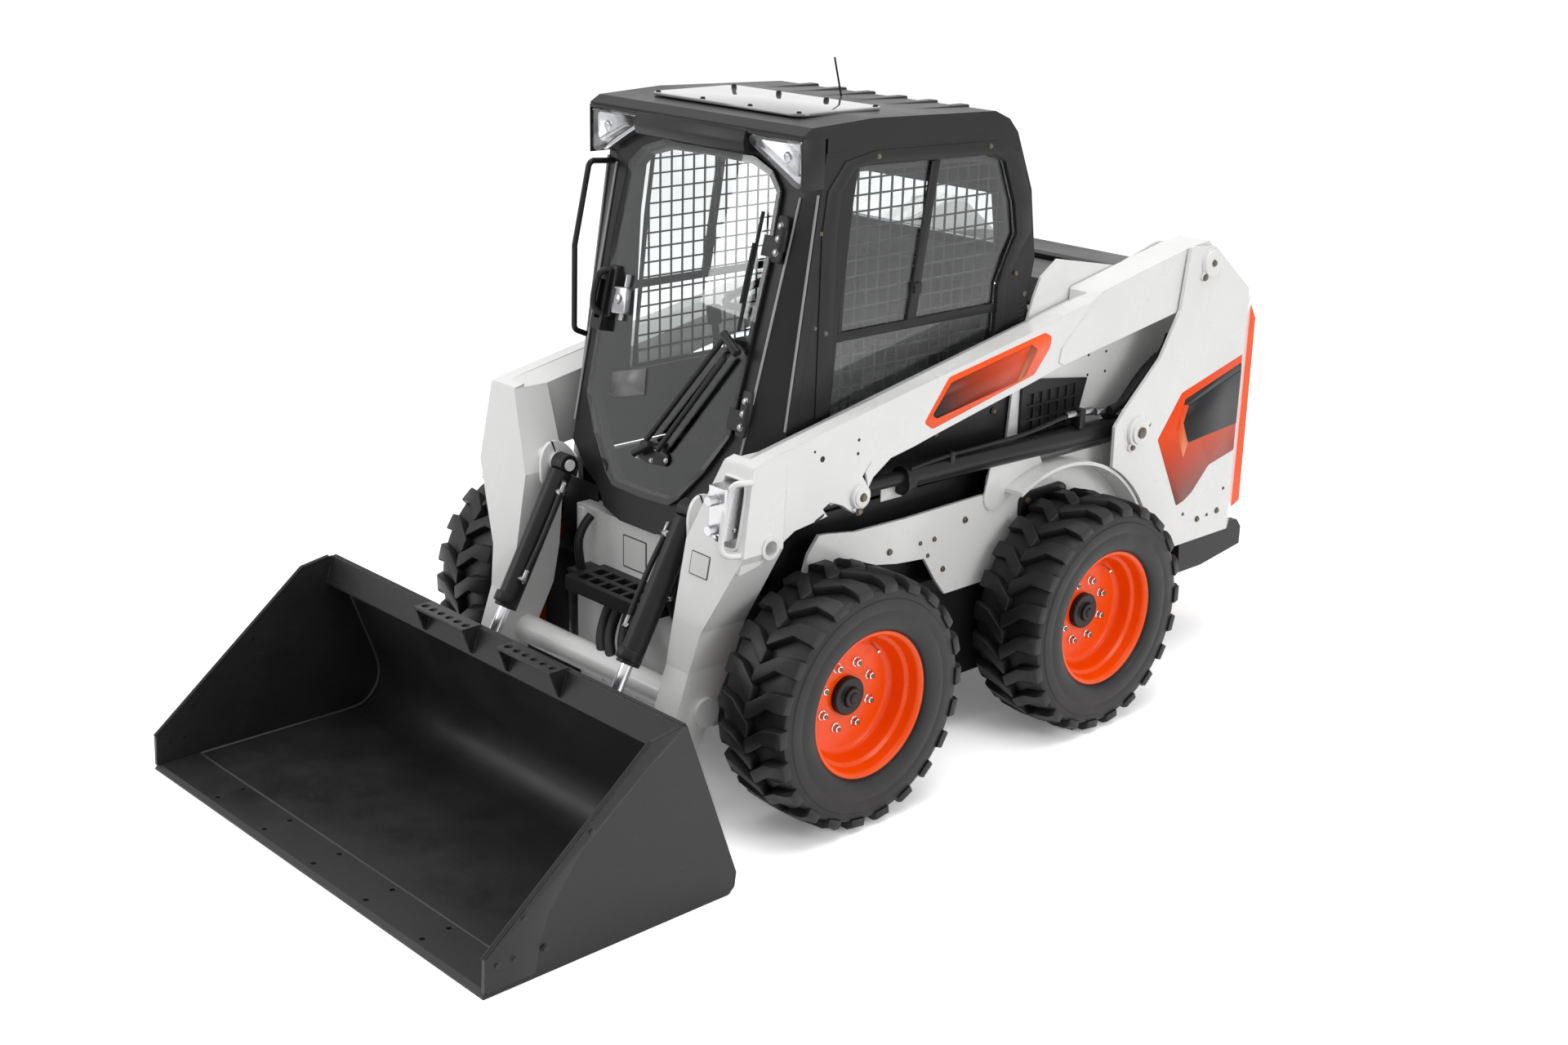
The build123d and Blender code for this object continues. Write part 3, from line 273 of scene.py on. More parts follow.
def finish_material(name, colour, varied, rough, rough_spread=0.08, metallic=0.0, coat=0.0, coat_rough=0.1,
                    fine=400.0, broad=3.0, bump=0.1, bump_size=0.0004, edge=None, edge_amount=0.5,
                    edge_radius=0.003, scratch=0.0, scratch_colour=(0.2, 0.2, 0.2), stretch=(1, 1, 1),
                    specks=0.0, speck_colour=(0.3, 0.3, 0.3), specular=0.5):
    """Principled material with broad colour patches, grain, rounded and worn edges and scratches."""
    material, tree, shader = new_material(name)
    settings = {"Metallic": metallic, "Coat Weight": coat, "Coat Roughness": coat_rough,
                "Specular IOR Level": specular}
    for socket, value in settings.items():
        shader[socket].default_value = value
    grain = use_group(tree, GRAIN, Fine=fine, Broad=broad, Stretch=stretch)
    wide = spread(tree, grain["Patches"], 0.0, 1.0, PATCH_LOW, PATCH_HIGH)
    shade = blend_colour(tree, wide, colour, varied)
    if specks:
        shade = blend_colour(tree, reckon(tree, "MULTIPLY", grain["Specks"], specks), shade, speck_colour)
    if scratch:
        shade = blend_colour(tree, use_group(tree, SCRATCHES, Amount=scratch)["Mask"], shade, scratch_colour)
    worn = use_group(tree, WORN_EDGES, Radius=edge_radius, Amount=edge_amount)
    if edge is not None:
        shade = blend_colour(tree, worn["Mask"], shade, edge)
    feed(tree, shader["Base Color"], shade)
    feed(tree, shader["Roughness"],
         spread(tree, grain["Patches"], rough - rough_spread, rough + rough_spread, PATCH_LOW, PATCH_HIGH))
    raised = node(tree, "Bump", Strength=bump, Distance=bump_size, Height=grain["Height"],
                  Normal=worn["Normal"])
    feed(tree, shader["Normal"], raised.outputs["Normal"])
    return material


def glass_material(name, tint, rough, shade=(0.9, 0.9, 0.9)):
    """Clear pane that lets lamp light through, with a faint haze."""
    material, tree, shader = new_material(name)
    shader["Transmission Weight"].default_value = 1.0
    shader["IOR"].default_value = 1.45
    patches = use_group(tree, GRAIN, Fine=120.0, Broad=2.5)["Patches"]
    feed(tree, shader["Base Color"], blend_colour(tree, patches, tint, tuple(0.97 * v for v in tint)))
    feed(tree, shader["Roughness"], spread(tree, patches, rough, rough + 0.02, PATCH_LOW, PATCH_HIGH))
    clear = node(tree, "BsdfTransparent", Color=(*shade, 1))
    mix = node(tree, "MixShader", Fac=node(tree, "LightPath").outputs["Is Shadow Ray"])
    feed(tree, mix.inputs[1], tree.nodes["Principled BSDF"].outputs[0])
    feed(tree, mix.inputs[2], clear.outputs[0])
    feed(tree, tree.nodes["Material Output"].inputs["Surface"], mix.outputs[0])
    return material


def grey(level, blue=0.0):
    """Colour of one level, its blue a little higher or lower."""
    return (level, level, round(level + blue, 5))


FINISHES = {             # colour, its broad patches, roughness, and what is out of the ordinary
    "white_paint": (grey(0.80, -0.01), grey(0.75, -0.005), 0.30,
                    dict(coat=0.4, fine=260.0, bump=0.05, edge=grey(0.42, 0.01), edge_amount=0.35)),
    "black_paint": (grey(0.011, 0.001), grey(0.016, 0.001), 0.36,
                    dict(fine=500.0, bump=0.12, edge=grey(0.05, 0.002), specular=0.22)),
    "orange_paint": ((1.0, 0.095, 0.0), (0.92, 0.082, 0.0), 0.28,
                     dict(coat=0.10, fine=300.0, bump=0.05, edge=(0.95, 0.14, 0.01), edge_amount=0.3,
                          specular=0.25)),
    "bucket_steel": (grey(0.012, 0.0005), grey(0.018, 0.0005), 0.40,
                     dict(fine=350.0, broad=5.0, bump=0.25, edge=grey(0.16, 0.005), edge_amount=0.8,
                          scratch=0.35, scratch_colour=grey(0.06, 0.002), specks=0.2, speck_colour=grey(0.10),
                          specular=0.3)),
    "steel": (grey(0.55, 0.01), grey(0.40, 0.01), 0.28, dict(metallic=1.0, fine=700.0, stretch=(1, 1, 0.1))),
    "chrome_rod": (grey(0.72, 0.02), grey(0.62, 0.02), 0.12,
                   dict(rough_spread=0.04, metallic=1.0, fine=900.0, bump=0.03)),
    "tyre": (grey(0.009, 0.0005), grey(0.015, 0.0005), 0.48,
             dict(rough_spread=0.10, fine=300.0, broad=9.0, bump=0.3, bump_size=0.0007,
                  edge=grey(0.06, 0.002), specks=0.10, speck_colour=grey(0.08), specular=0.3)),
    "seal_rubber": (grey(0.008), grey(0.013), 0.5, dict(fine=600.0, bump=0.15, specular=0.3)),
    "cast_metal": ((0.10, 0.085, 0.07), (0.16, 0.13, 0.10), 0.35, dict(metallic=0.8, fine=200.0, bump=0.3)),
    "seat_vinyl": (grey(0.012, 0.001), grey(0.018, 0.001), 0.55, dict(fine=900.0, specular=0.3)),
    "plastic": (grey(0.011, 0.001), grey(0.017, 0.001), 0.42, dict(fine=1200.0, bump=0.2, specular=0.25)),
    "red_lens": ((0.45, 0.008, 0.006), (0.38, 0.006, 0.005), 0.15, dict(coat=0.6, fine=150.0)),
    "weld_bead": (grey(0.02, 0.001), grey(0.045, 0.001), 0.5, dict(fine=260.0, bump=0.8, bump_size=0.002)),
    "skylight": (grey(0.20, 0.005), grey(0.16, 0.005), 0.10,
                 dict(coat=1.0, coat_rough=0.03, fine=300.0, bump=0.01)),
    "lamp_bowl": (grey(0.55, 0.01), grey(0.38, 0.01), 0.2,
                  dict(metallic=1.0, fine=60.0, bump=0.3, bump_size=0.002)),
    "dull_steel": (grey(0.34, 0.01), grey(0.22, 0.01), 0.25, dict(metallic=1.0, fine=500.0)),
    "clear_sheet": (grey(0.09), grey(0.12), 0.3, dict(fine=200.0, bump=0.02)),
    "pale_sheet": (grey(0.72, -0.01), grey(0.68, -0.01), 0.4, dict(fine=200.0, bump=0.02)),
    "sign_border": (grey(0.012, 0.001), grey(0.018, 0.001), 0.5, dict(fine=200.0, bump=0.02)),
    # painted reflection: pale grey for the strips down the cab's corner posts
    "post_painted_reflection": (grey(0.30, 0.01), grey(0.22, 0.01), 0.2, dict(coat=0.5, fine=200.0, bump=0.02)),
}
MATERIALS = {"glass": glass_material("glass", (0.93, 0.95, 0.95), 0.0),
             "lens": glass_material("lens", (0.96, 0.97, 0.98), 0.04)}
for finish, (main, second, roughness, others) in FINISHES.items():
    MATERIALS[finish] = finish_material(finish, main, second, roughness, **others)

for part in frame["record"]["subparts"]:
    mesh = NODES[part["node"]].data
    mesh.materials.clear()
    mesh.materials.append(MATERIALS[part["material_slot"]])


# ---- Modelling steps ----------------------------------------------------
HIDDEN_EDGE = math.radians(32)         # faces that meet at less than this are shaded as one
OUT = Vector((1, 0, 0))
MIRROR_X = Matrix.Scale(-1, 4, OUT)


def pick(piece):
    deselect()
    piece.select_set(True)
    bpy.context.view_layer.objects.active = piece


def edit(piece):
    """Opens the piece in edit mode with all of it selected."""
    pick(piece)
    bpy.ops.object.mode_set(mode="EDIT")
    bpy.ops.mesh.select_all(action="SELECT")


def done():
    bpy.ops.object.mode_set(mode="OBJECT")


def extrude(step):
    bpy.ops.mesh.extrude_region_move(TRANSFORM_OT_translate={"value": Vector(step)})


def done_outwards():
    """Leaves edit mode with every face pointing outwards."""
    bpy.ops.mesh.select_all(action="SELECT")
    bpy.ops.mesh.normals_make_consistent(inside=False)
    done()


def settle(piece, name):
    """Puts the piece's place into its mesh."""
    pick(piece)
    bpy.ops.object.transform_apply(location=True, rotation=True, scale=True)
    piece.name = piece.data.name = name
    return piece


def modify(piece, kind, **values):
    pick(piece)
    modifier = piece.modifiers.new(kind.lower(), kind)
    for key, value in values.items():
        setattr(modifier, key, value)
    bpy.ops.object.modifier_apply(modifier=modifier.name)
    return piece


def round_edges(piece, width, segments=2, angle=30):
    return modify(piece, "BEVEL", width=width * MM, segments=segments, limit_method="ANGLE",
                  angle_limit=math.radians(angle), harden_normals=False)


def row(x, y, z):
    """Point in metres from millimetres, y from the middle between the axles."""
    return Vector((x * MM, (y + MID_Y) * MM, z * MM))


def traced(name, points, corner=0, filled=True):
    """Outline drawn from point to point, as a flat face or an open chain."""
    deselect()
    bpy.ops.mesh.primitive_plane_add(size=0.01, location=points[0])
    piece = bpy.context.object
    edit(piece)
    bpy.ops.mesh.merge(type="CENTER")
    for start, end in zip(points, points[1:]):
        extrude(Vector(end) - Vector(start))
    if filled:
        bpy.ops.mesh.select_all(action="SELECT")
        bpy.ops.mesh.edge_face_add()
        if corner:
            bpy.ops.mesh.bevel(offset=corner * MM, segments=4, affect="VERTICES")
    done()
    return settle(piece, name)


def plate(name, points, thickness, corner=0, edge=1.5):
    """Sheet of this outline, as thick as the vector thickness (millimetres)."""
    piece = traced(name, points, corner)
    edit(piece)
    extrude(Vector(thickness) * MM)
    done_outwards()
    return round_edges(piece, edge) if edge else piece


def side_plate(name, outline, x, thickness, corner=0, edge=1.5):
    """Sheet in a side view: outline (y, z), from x outwards."""
    return plate(name, [row(x, y, z) for y, z in outline], (thickness, 0, 0), corner, edge)


def ring_plate(name, outer, inner, thickness):
    """Flat ring between two outlines with the same number of points, thickened by a vector."""
    loops = []
    for outline in (outer, inner):
        loop = traced(name, list(outline) + [outline[0]], filled=False)
        edit(loop)
        bpy.ops.mesh.remove_doubles(threshold=0.00005)
        done()
        loops.append(loop)
    ring = joined(name, loops)
    edit(ring)
    bpy.ops.mesh.bridge_edge_loops()
    extrude(Vector(thickness) * MM)
    done_outwards()
    return ring


def cube(name, low, high, edge=2.0, segments=2):
    """Block between two corners (millimetres), its edges rounded."""
    deselect()
    low, high = row(*low), row(*high)
    bpy.ops.mesh.primitive_cube_add(size=1, location=(low + high) / 2)
    piece = bpy.context.object
    piece.scale = high - low
    return round_edges(settle(piece, name), edge, segments)


def rod(name, start, end, radius, sides=24, edge=0.0, tip=None):
    """Cylinder or cone between two points (metres); radius and tip in millimetres."""
    deselect()
    start, end = Vector(start), Vector(end)
    tip = radius if tip is None else tip
    bpy.ops.mesh.primitive_cone_add(vertices=sides, radius1=radius * MM, radius2=tip * MM,
                                    depth=(end - start).length, location=(start + end) / 2)
    piece = bpy.context.object
    piece.rotation_euler = (end - start).to_track_quat("Z", "Y").to_euler()
    settle(piece, name)
    return round_edges(piece, edge) if edge else piece


def disc(place, normal, radius, height, sides=24, edge=0.0):
    """Short rod that stands on a face, its foot sunk half a millimetre."""
    normal = Vector(normal) * MM
    return rod("disc", place - normal * 0.5, place + normal * height, radius, sides, edge)


def side_disc(x, centre, radius, height, sides=24, edge=0.0):
    """Disc on a side face at x, about a centre (y, z)."""
    return disc(row(x, *centre), OUT, radius, height, sides, edge)


def pipe(name, points, radius, sides=8):
    """Tube along points (metres) with a smooth line; radius in millimetres."""
    data = bpy.data.curves.new(name, "CURVE")
    data.dimensions = "3D"
    data.bevel_depth = radius * MM
    data.bevel_resolution = sides // 2
    data.use_fill_caps = True
    spline = data.splines.new("NURBS")
    spline.points.add(len(points) - 1)
    for point, place in zip(spline.points, points):
        point.co = (*place, 1)
    spline.order_u, spline.use_endpoint_u, spline.resolution_u = 3, True, 6
    piece = bpy.data.objects.new(name, data)
    bpy.context.collection.objects.link(piece)
    pick(piece)
    bpy.ops.object.convert(target="MESH")
    return settle(bpy.context.object, name)


def row_pipe(name, route, radius, sides=8):
    """Tube along (x, y, z) points in millimetres."""
    return pipe(name, [row(*point) for point in route], radius, sides)


def spun(name, chain, steps=64, close=False):
    """Ring turned about X from (x, radius) points in millimetres, centred on the origin."""
    points = [Vector((x * MM, 0, r * MM)) for x, r in chain]
    piece = traced(name, points + points[:1] if close else points, filled=False)
    edit(piece)
    bpy.ops.mesh.spin(steps=steps, angle=math.tau, center=(0, 0, 0), axis=(1, 0, 0))
    bpy.ops.mesh.select_all(action="SELECT")
    bpy.ops.mesh.remove_doubles(threshold=0.00002)
    done_outwards()
    return piece


def copied(piece, matrix):
    """Copy with its own mesh, moved by matrix."""
    made = piece.copy()
    made.data = piece.data.copy()
    bpy.context.collection.objects.link(made)
    made.data.transform(matrix)
    if matrix.determinant() < 0:
        made.data.flip_normals()
    return made


def both_sides(piece):
    return [piece, copied(piece, MIRROR_X)]


def drop(piece):
    bpy.data.objects.remove(piece)


def joined(name, pieces):
    """One object from a piece or several."""
    pieces = pieces if isinstance(pieces, list) else [pieces]
    deselect()
    for piece in pieces:
        piece.select_set(True)
    bpy.context.view_layer.objects.active = pieces[0]
    if len(pieces) > 1:
        bpy.ops.object.join()
    pieces[0].name = pieces[0].data.name = name
    return pieces[0]


def finished(name, pieces, body, slot, look=None, replaces=(), smooth=HIDDEN_EDGE):
    """Joins pieces into the named one, gives it its finish and makes it ride on a body."""
    piece = joined(name, pieces)
    pick(piece)
    bpy.ops.object.shade_smooth_by_angle(angle=smooth)
    piece.data.materials.clear()
    piece.data.materials.append(MATERIALS[look or slot])
    if replaces:
        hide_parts(*replaces)
    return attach(piece, body)


def on_both(name, pieces, body, slot, look=None):
    """Left pieces and their mirror images, as one finished piece."""
    return finished(name, both_sides(joined(name, pieces)), body, slot, look)


def each_side(name, pieces, body, slot, look=None):
    """Left piece on body_left and its mirror image on body_right."""
    left = joined(f"{name}_left", pieces)
    right = copied(left, MIRROR_X)
    finished(f"{name}_left", left, f"{body}_left", slot, look)
    finished(f"{name}_right", right, f"{body}_right", slot, look)


BOLT_R = 9.0


def hex_bolt():
    """Washer and hexagon head, pointing up from the origin."""
    washer = rod("washer", (0, 0, -0.5 * MM), (0, 0, 1.6 * MM), BOLT_R * 1.25, 20, 0.4)
    head = rod("head", (0, 0, 1.5 * MM), (0, 0, BOLT_R * 0.75 * MM), BOLT_R, 6, 0.8)
    return joined("hex_bolt", [washer, head])


BOLT = hex_bolt()


def bolts(places, normal, radius):
    """Copies of the bolt at places, heads along normal."""
    turn = Vector(normal).to_track_quat("Z", "Y").to_matrix().to_4x4()
    size = Matrix.Scale(radius / BOLT_R, 4)
    return [copied(BOLT, Matrix.Translation(place) @ turn @ size) for place in places]


def side_bolts(places, radius):
    """Bolts that point outwards from (x, y, z) places in millimetres."""
    return bolts([row(*place) for place in places], OUT, radius)


# ---- Wheels, with x and radius in millimetres ---------------------------
TREAD_BASE_R = 357.0
LUG_R = 385.6
LUG_COUNT = 22
LUG_TAPER = (0.975, 0.86, 1)           # of a lug's top, about a point near its middle
LUG_MIDDLE = (0.062, 0.026, 1)
SHOULDER_X, SHOULDER_R = 128.0, 344.0  # past this x a lug's foot goes down to this radius
CROWN_FLAT, CROWN_FALL = 96.0, 36.5    # the lugs' tops fall away past the one, over the other
LUG_OUTLINE = [(132.5, -4.6), (112.0, -4.4), (62.0, -3.0), (40.0, -0.2), (-4.0, 5.2), (-9.0, 6.4),
               (-9.0, 12.4), (-2.0, 13.4), (48.0, 6.9), (66.0, 4.4), (112.0, 4.8), (132.5, 4.6)]  # x, degrees
SIDEWALL = [(104.2, 211.0), (113.8, 226.5), (119, 227.5), (125, 232), (130, 243), (131.9, 262),
            (132.0, 285), (131.4, 287), (131.4, 289), (132.0, 291), (131.9, 312), (131.0, 322),
            (127.5, 326), (127.0, 344), (124, 350), (112, 355.5), (70, TREAD_BASE_R)]
RIM_PROFILE = [(104.4, 208.8), (104.6, 223.2), (108, 224), (112.5, 224), (114.5, 222), (114.5, 217),
               (112, 212.5), (106, 208), (98, 205.5), (80, 204), (73, 201.5), (69, 195), (66, 190.5),
               (60, 188), (40, 186.5), (26, 184), (17, 179), (12.5, 171), (11, 160), (11, 58), (-1, 58),
               (-1, 160), (1, 172), (3, 184), (-10, 190), (-60, 194), (-72, 200), (-98, 205.5),
               (-106, 208), (-112, 212.5), (-114.5, 217), (-114.5, 222), (-112.5, 224), (-108, 224),
               (-104.6, 223.2), (-104.4, 208.8)]
HUB_PROFILE = [(9, 58.5), (29, 58.0), (32, 55), (32.4, 33), (34, 31), (44, 29.5), (46.4, 27), (46.6, 17.5),
               (47.6, 16), (50.6, 15), (51.8, 13), (51.9, 0.02)]
BACK_HUB = [(9, 58.5), (-34, 58.0), (-38, 54), (-38, 31)]
STUD_COUNT = 8
STUD_CIRCLE_R = 101.6
WHEEL_FACE = 11.0
VALVE_R = 168.0
VALVE_TURN = math.radians(52)


def crown(x):
    """Radius of the lugs' tops at a distance from the tyre's middle."""
    over = max(0.0, abs(x) - CROWN_FLAT) / CROWN_FALL
    return LUG_R - 1.5 * (x / 100.0) ** 2 - 15.0 * over ** 2.2


def make_lug():
    """Bar drawn flat with levels 0 and 1 for its foot and top, then wrapped round the tread."""
    lug = traced("lug", [Vector((x * MM, math.radians(t) * LUG_R * MM, 0)) for x, t in LUG_OUTLINE])
    edit(lug)
    extrude((0, 0, 1))
    bpy.ops.transform.resize(value=LUG_TAPER, center_override=LUG_MIDDLE)
    done_outwards()
    for vertex in lug.data.vertices:
        across, around, level = vertex.co
        turn = around / (LUG_R * MM)
        low = SHOULDER_R if across > SHOULDER_X * MM else TREAD_BASE_R - 4
        radius = (low + (crown(across / MM) - low) * level) * MM
        vertex.co = (across, -radius * math.cos(turn), -radius * math.sin(turn))
    return round_edges(lug, 2.6, 2, 35)


def make_tyre():
    inner = [(-x, r) for x, r in reversed(SIDEWALL)]
    pieces = [spun("tyre_body", SIDEWALL + inner, 88)]
    lug = make_lug()
    for number in range(LUG_COUNT):
        turn = math.tau * number / LUG_COUNT
        pieces.append(copied(lug, Matrix.Rotation(turn, 4, "X")))
        shift = turn + math.tau / LUG_COUNT / 2
        pieces.append(copied(lug, Matrix.Rotation(shift, 4, "X") @ MIRROR_X))
    drop(lug)
    return joined("tyre", pieces)


def spoke(turn):
    return Vector((0, math.cos(turn), math.sin(turn)))


def make_wheel_parts():
    """Rim, hub and nuts of a left wheel, centred on the tyre's middle."""
    rim = spun("rim", RIM_PROFILE, 96, close=True)
    hub = joined("hub", [spun("hub_face", HUB_PROFILE, 48), spun("hub_back", BACK_HUB, 48)])
    nuts, studs = [], []
    out = OUT * MM
    for number in range(STUD_COUNT):
        face = spoke(math.tau * (number + 0.5) / STUD_COUNT) * STUD_CIRCLE_R * MM + out * WHEEL_FACE
        nuts.append(rod("flange", face - out, face + out * 3.5, 15.5, 20, 0.5))
        nuts.append(rod("nut", face + out * 3, face + out * 17, 13.5, 6, 1.2, 11.5))
        studs.append(rod("stud", face + out * 10, face + out * 20.5, 6.8, 14, 1.0))
    inward = spoke(VALVE_TURN) * MM
    root = inward * VALVE_R + out * (WHEEL_FACE + 1)
    bend = root + out * 26 - inward * 10
    nuts.append(rod("valve", root, bend, 4.2, 12, 0.6))
    nuts.append(rod("valve_cap", bend, root + out * 38 - inward * 15, 5.4, 12, 1.0))
    return rim, hub, joined("nuts", nuts), joined("studs", studs)


def dress_wheels():
    tyre = make_tyre()
    rim, hub, nuts, studs = make_wheel_parts()
    for side in ("left", "right"):
        for axle in ("front", "rear"):
            wheel = f"{axle}_{side}"
            low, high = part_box(f"tyre_{wheel}")
            place = Matrix.Translation((low + high) / 2) @ (MIRROR_X if side == "right" else Matrix())
            for name, pattern, slot, replaces in (
                    ("tyre_lugs", tyre, "tyre", (f"tyre_{wheel}",)),
                    ("rim_shell", rim, "orange_paint", (f"rim_{wheel}",)),
                    ("hub", hub, "black_paint", ()),
                    ("wheel_nuts", nuts, "chrome_rod", ()),
                    ("wheel_studs", studs, "cast_metal", ())):
                finished(f"{name}_{wheel}", copied(pattern, place), f"wheel_{wheel}", slot, replaces=replaces)
    for pattern in (tyre, rim, hub, nuts, studs):
        drop(pattern)


# ---- Faces that the pieces sit on, in millimetres -----------------------
def face_of(part_name):
    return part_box(part_name)[1].x / MM


def middle_of(part_name):
    low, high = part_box(part_name)
    return (low.x + high.x) / 2 / MM


CAB_FACE = face_of("cab_sides")
TUB_FACE = face_of("tub")
PLATE_FACE = face_of("side_plates")
ARM_FACE = face_of("arm_left") - 15.0
INNER_FACE = TUB_FACE - 45.0
TOWER_FACE = face_of("towers") - 12.0
CHEEK_FACE = face_of("bucket")
LIFT_MID_X = middle_of("lift_barrel_left")
TILT_MID_X = middle_of("tilt_barrel_left")

# Centres (y, z) that several pieces share
LIFT_EYE, LIFT_BASE, ARM_PIN = (-409, 940), (876, 912), (1212, 1439)


# ---- Coloured panels on the sides ---------------------------------------
ARM_PANEL = [(-44, 1238), (392, 1312), (424, 1296), (421, 1263), (351, 1185), (-108, 1089), (-144, 1114)]
ARM_FIELD = [(-33, 1221), (328, 1284), (362, 1262), (306, 1186), (274, 1175), (-93, 1119), (-110, 1132)]
ARM_BEVEL = [(328, 1284), (352, 1268), (290, 1180), (268, 1176)]
TOWER_PANEL = [(1449, 1089), (1112, 1005), (997, 861), (1136, 600), (1177, 610), (1219, 632), (1307, 715),
               (1451, 744)]
TOWER_FIELD = [(1451, 1034), (1159, 954), (1136, 895), (1172, 820), (1451, 842)]
TOWER_BEVEL = [(1159, 954), (1136, 895), (1172, 820), (1150, 768), (1098, 880), (1128, 962)]
TOWER_EDGE = [(1449, 1060), (1136, 980), (1128, 962), (1159, 954), (1451, 1034)]
PAINTED_SHADING = {               # painted shade and highlights on the side panels: dark and light colours, and the points where they start and end
    # painted shade: the arm panel's field runs from near black at the lower front to orange at the upper rear
    "arm_panel_painted_shade": ((0.008, 0.003, 0.001), (0.72, 0.055, 0.0), (ARM_FACE, -60, 1110),
                       (ARM_FACE, 260, 1290)),
    # painted highlight: the flat bevel strip runs from pale orange at its foot to deep orange, as a lit bevel
    "arm_panel_bevel_highlight": ((0.60, 0.20, 0.10), (0.30, 0.04, 0.006), (ARM_FACE, 280, 1180),
                        (ARM_FACE, 345, 1275)),
    # painted shade: the tower panel darkens from orange to deep brown towards its foot
    "tower_panel_painted_shade": ((0.20, 0.017, 0.002), (0.90, 0.066, 0.001), (TOWER_FACE, 1180, 640),
                         (TOWER_FACE, 1120, 880)),
    # painted highlight: the flat bevel strip is pale orange at one end, as a lit bevel
    "tower_panel_bevel_highlight": ((1.0, 0.30, 0.12), (0.85, 0.07, 0.003), (TOWER_FACE, 1150, 775),
                          (TOWER_FACE, 1110, 900)),
    # painted highlight: the black field and its edge lighten towards the upper rear, as a gloss highlight
    "tower_field_painted_highlight": ((0.004, 0.004, 0.005), (0.03, 0.031, 0.034), (TOWER_FACE, 1200, 850),
                         (TOWER_FACE, 1440, 1000)),
}
PANELS = {               # outline, x, thickness, corner, edge, body, slot and look
    "arm_panel": (ARM_PANEL, ARM_FACE - 0.3, 1.5, 9, 0.4, "arms", "orange_paint", None),
    "arm_panel_field": (ARM_FIELD, ARM_FACE + 0.8, 0.9, 7, 0.2, "arms", "orange_paint", "arm_panel_painted_shade"),
    "arm_panel_bevel_highlight": (ARM_BEVEL, ARM_FACE + 1.2, 0.9, 0, 0.2, "arms", "orange_paint", "arm_panel_bevel_highlight"),
    "tower_panel": (TOWER_PANEL, TOWER_FACE - 0.3, 1.5, 5, 0.4, "chassis", "orange_paint",
                    "tower_panel_painted_shade"),
    "tower_panel_bevel_highlight": (TOWER_BEVEL, TOWER_FACE + 0.8, 0.8, 0, 0.2, "chassis", "orange_paint",
                          "tower_panel_bevel_highlight"),
    "tower_panel_field": (TOWER_FIELD, TOWER_FACE + 1.0, 1.0, 4, 0.2, "chassis", "black_paint",
                          "tower_field_painted_highlight"),
    "tower_panel_edge": (TOWER_EDGE, TOWER_FACE + 0.8, 0.9, 0, 0.2, "chassis", "black_paint",
                         "tower_field_painted_highlight"),
}


def painted_shading_material(name, dark, light, start, end):
    """Colour that runs from dark at the point start to light at the point end: painted shade and highlights
    on flat panels.
    """
    material = finish_material(name, dark, dark, 0.3, coat=0.05, fine=260.0, bump=0.02, specular=0.2)
    tree = material.node_tree
    start, end = row(*start), row(*end)
    run = end - start
    moved = reckon(tree, "SUBTRACT", node(tree, "TexCoord").outputs["Object"], start, "VectorMath")
    along = reckon(tree, "DOT_PRODUCT", moved, run / run.length_squared, "VectorMath")
    feed(tree, tree.nodes["Principled BSDF"].inputs["Base Color"],
         blend_colour(tree, spread(tree, along, 0.0, 1.0), dark, light))
    return material


# Side panels with painted shade on their fields and painted highlights on their flat bevels
def dress_panels():
    for name, values in PAINTED_SHADING.items():
        MATERIALS[name] = painted_shading_material(name, *values)
    for name, (outline, x, thickness, corner, edge, body, slot, look) in PANELS.items():
        on_both(name, side_plate(name, outline, x, thickness, corner, edge), body, slot, look)


# ---- Pins and fasteners on the sides ------------------------------------
# Each hole and bolt is y, z and radius
ARM_HOLES = [(-793, 1041, 9), (-563, 1081, 9), (-418, 1112, 5), (-420, 1071, 5), (-594, 1108, 4)]
INNER_HOLES = [(781, 1158, 5), (874, 1157, 5), (782, 1090, 5), (875, 1089, 5)]
PLATE_BOLTS = [(3, 700, 7), (-60, 700, 6), (-24, 652, 6), (142, 734, 9), (48, 592, 8), (-197, 702, 9)]
TOWER_BOLTS = [(1267, 524, 9), (1325, 528, 5), (1383, 532, 9), (1411, 609, 5), (1180, 560, 5)]
ARM_SLOT = [(-590, 893), (-552, 908), (-548, 918), (-586, 903)]
EYE_KEEPER = [(-440, 903), (-414, 886), (-398, 896), (-412, 925)]
BASE_TABS = [[(835, 880), (828, 856), (850, 846), (868, 866)],
             [(905, 948), (925, 953), (938, 934), (916, 912)]]
PIN_KEEPER = [(1170, 1415), (1158, 1392), (1178, 1380), (1200, 1400)]


def holes(x, places):
    return [side_disc(x, (y, z), radius, 0.5) for y, z, radius in places]


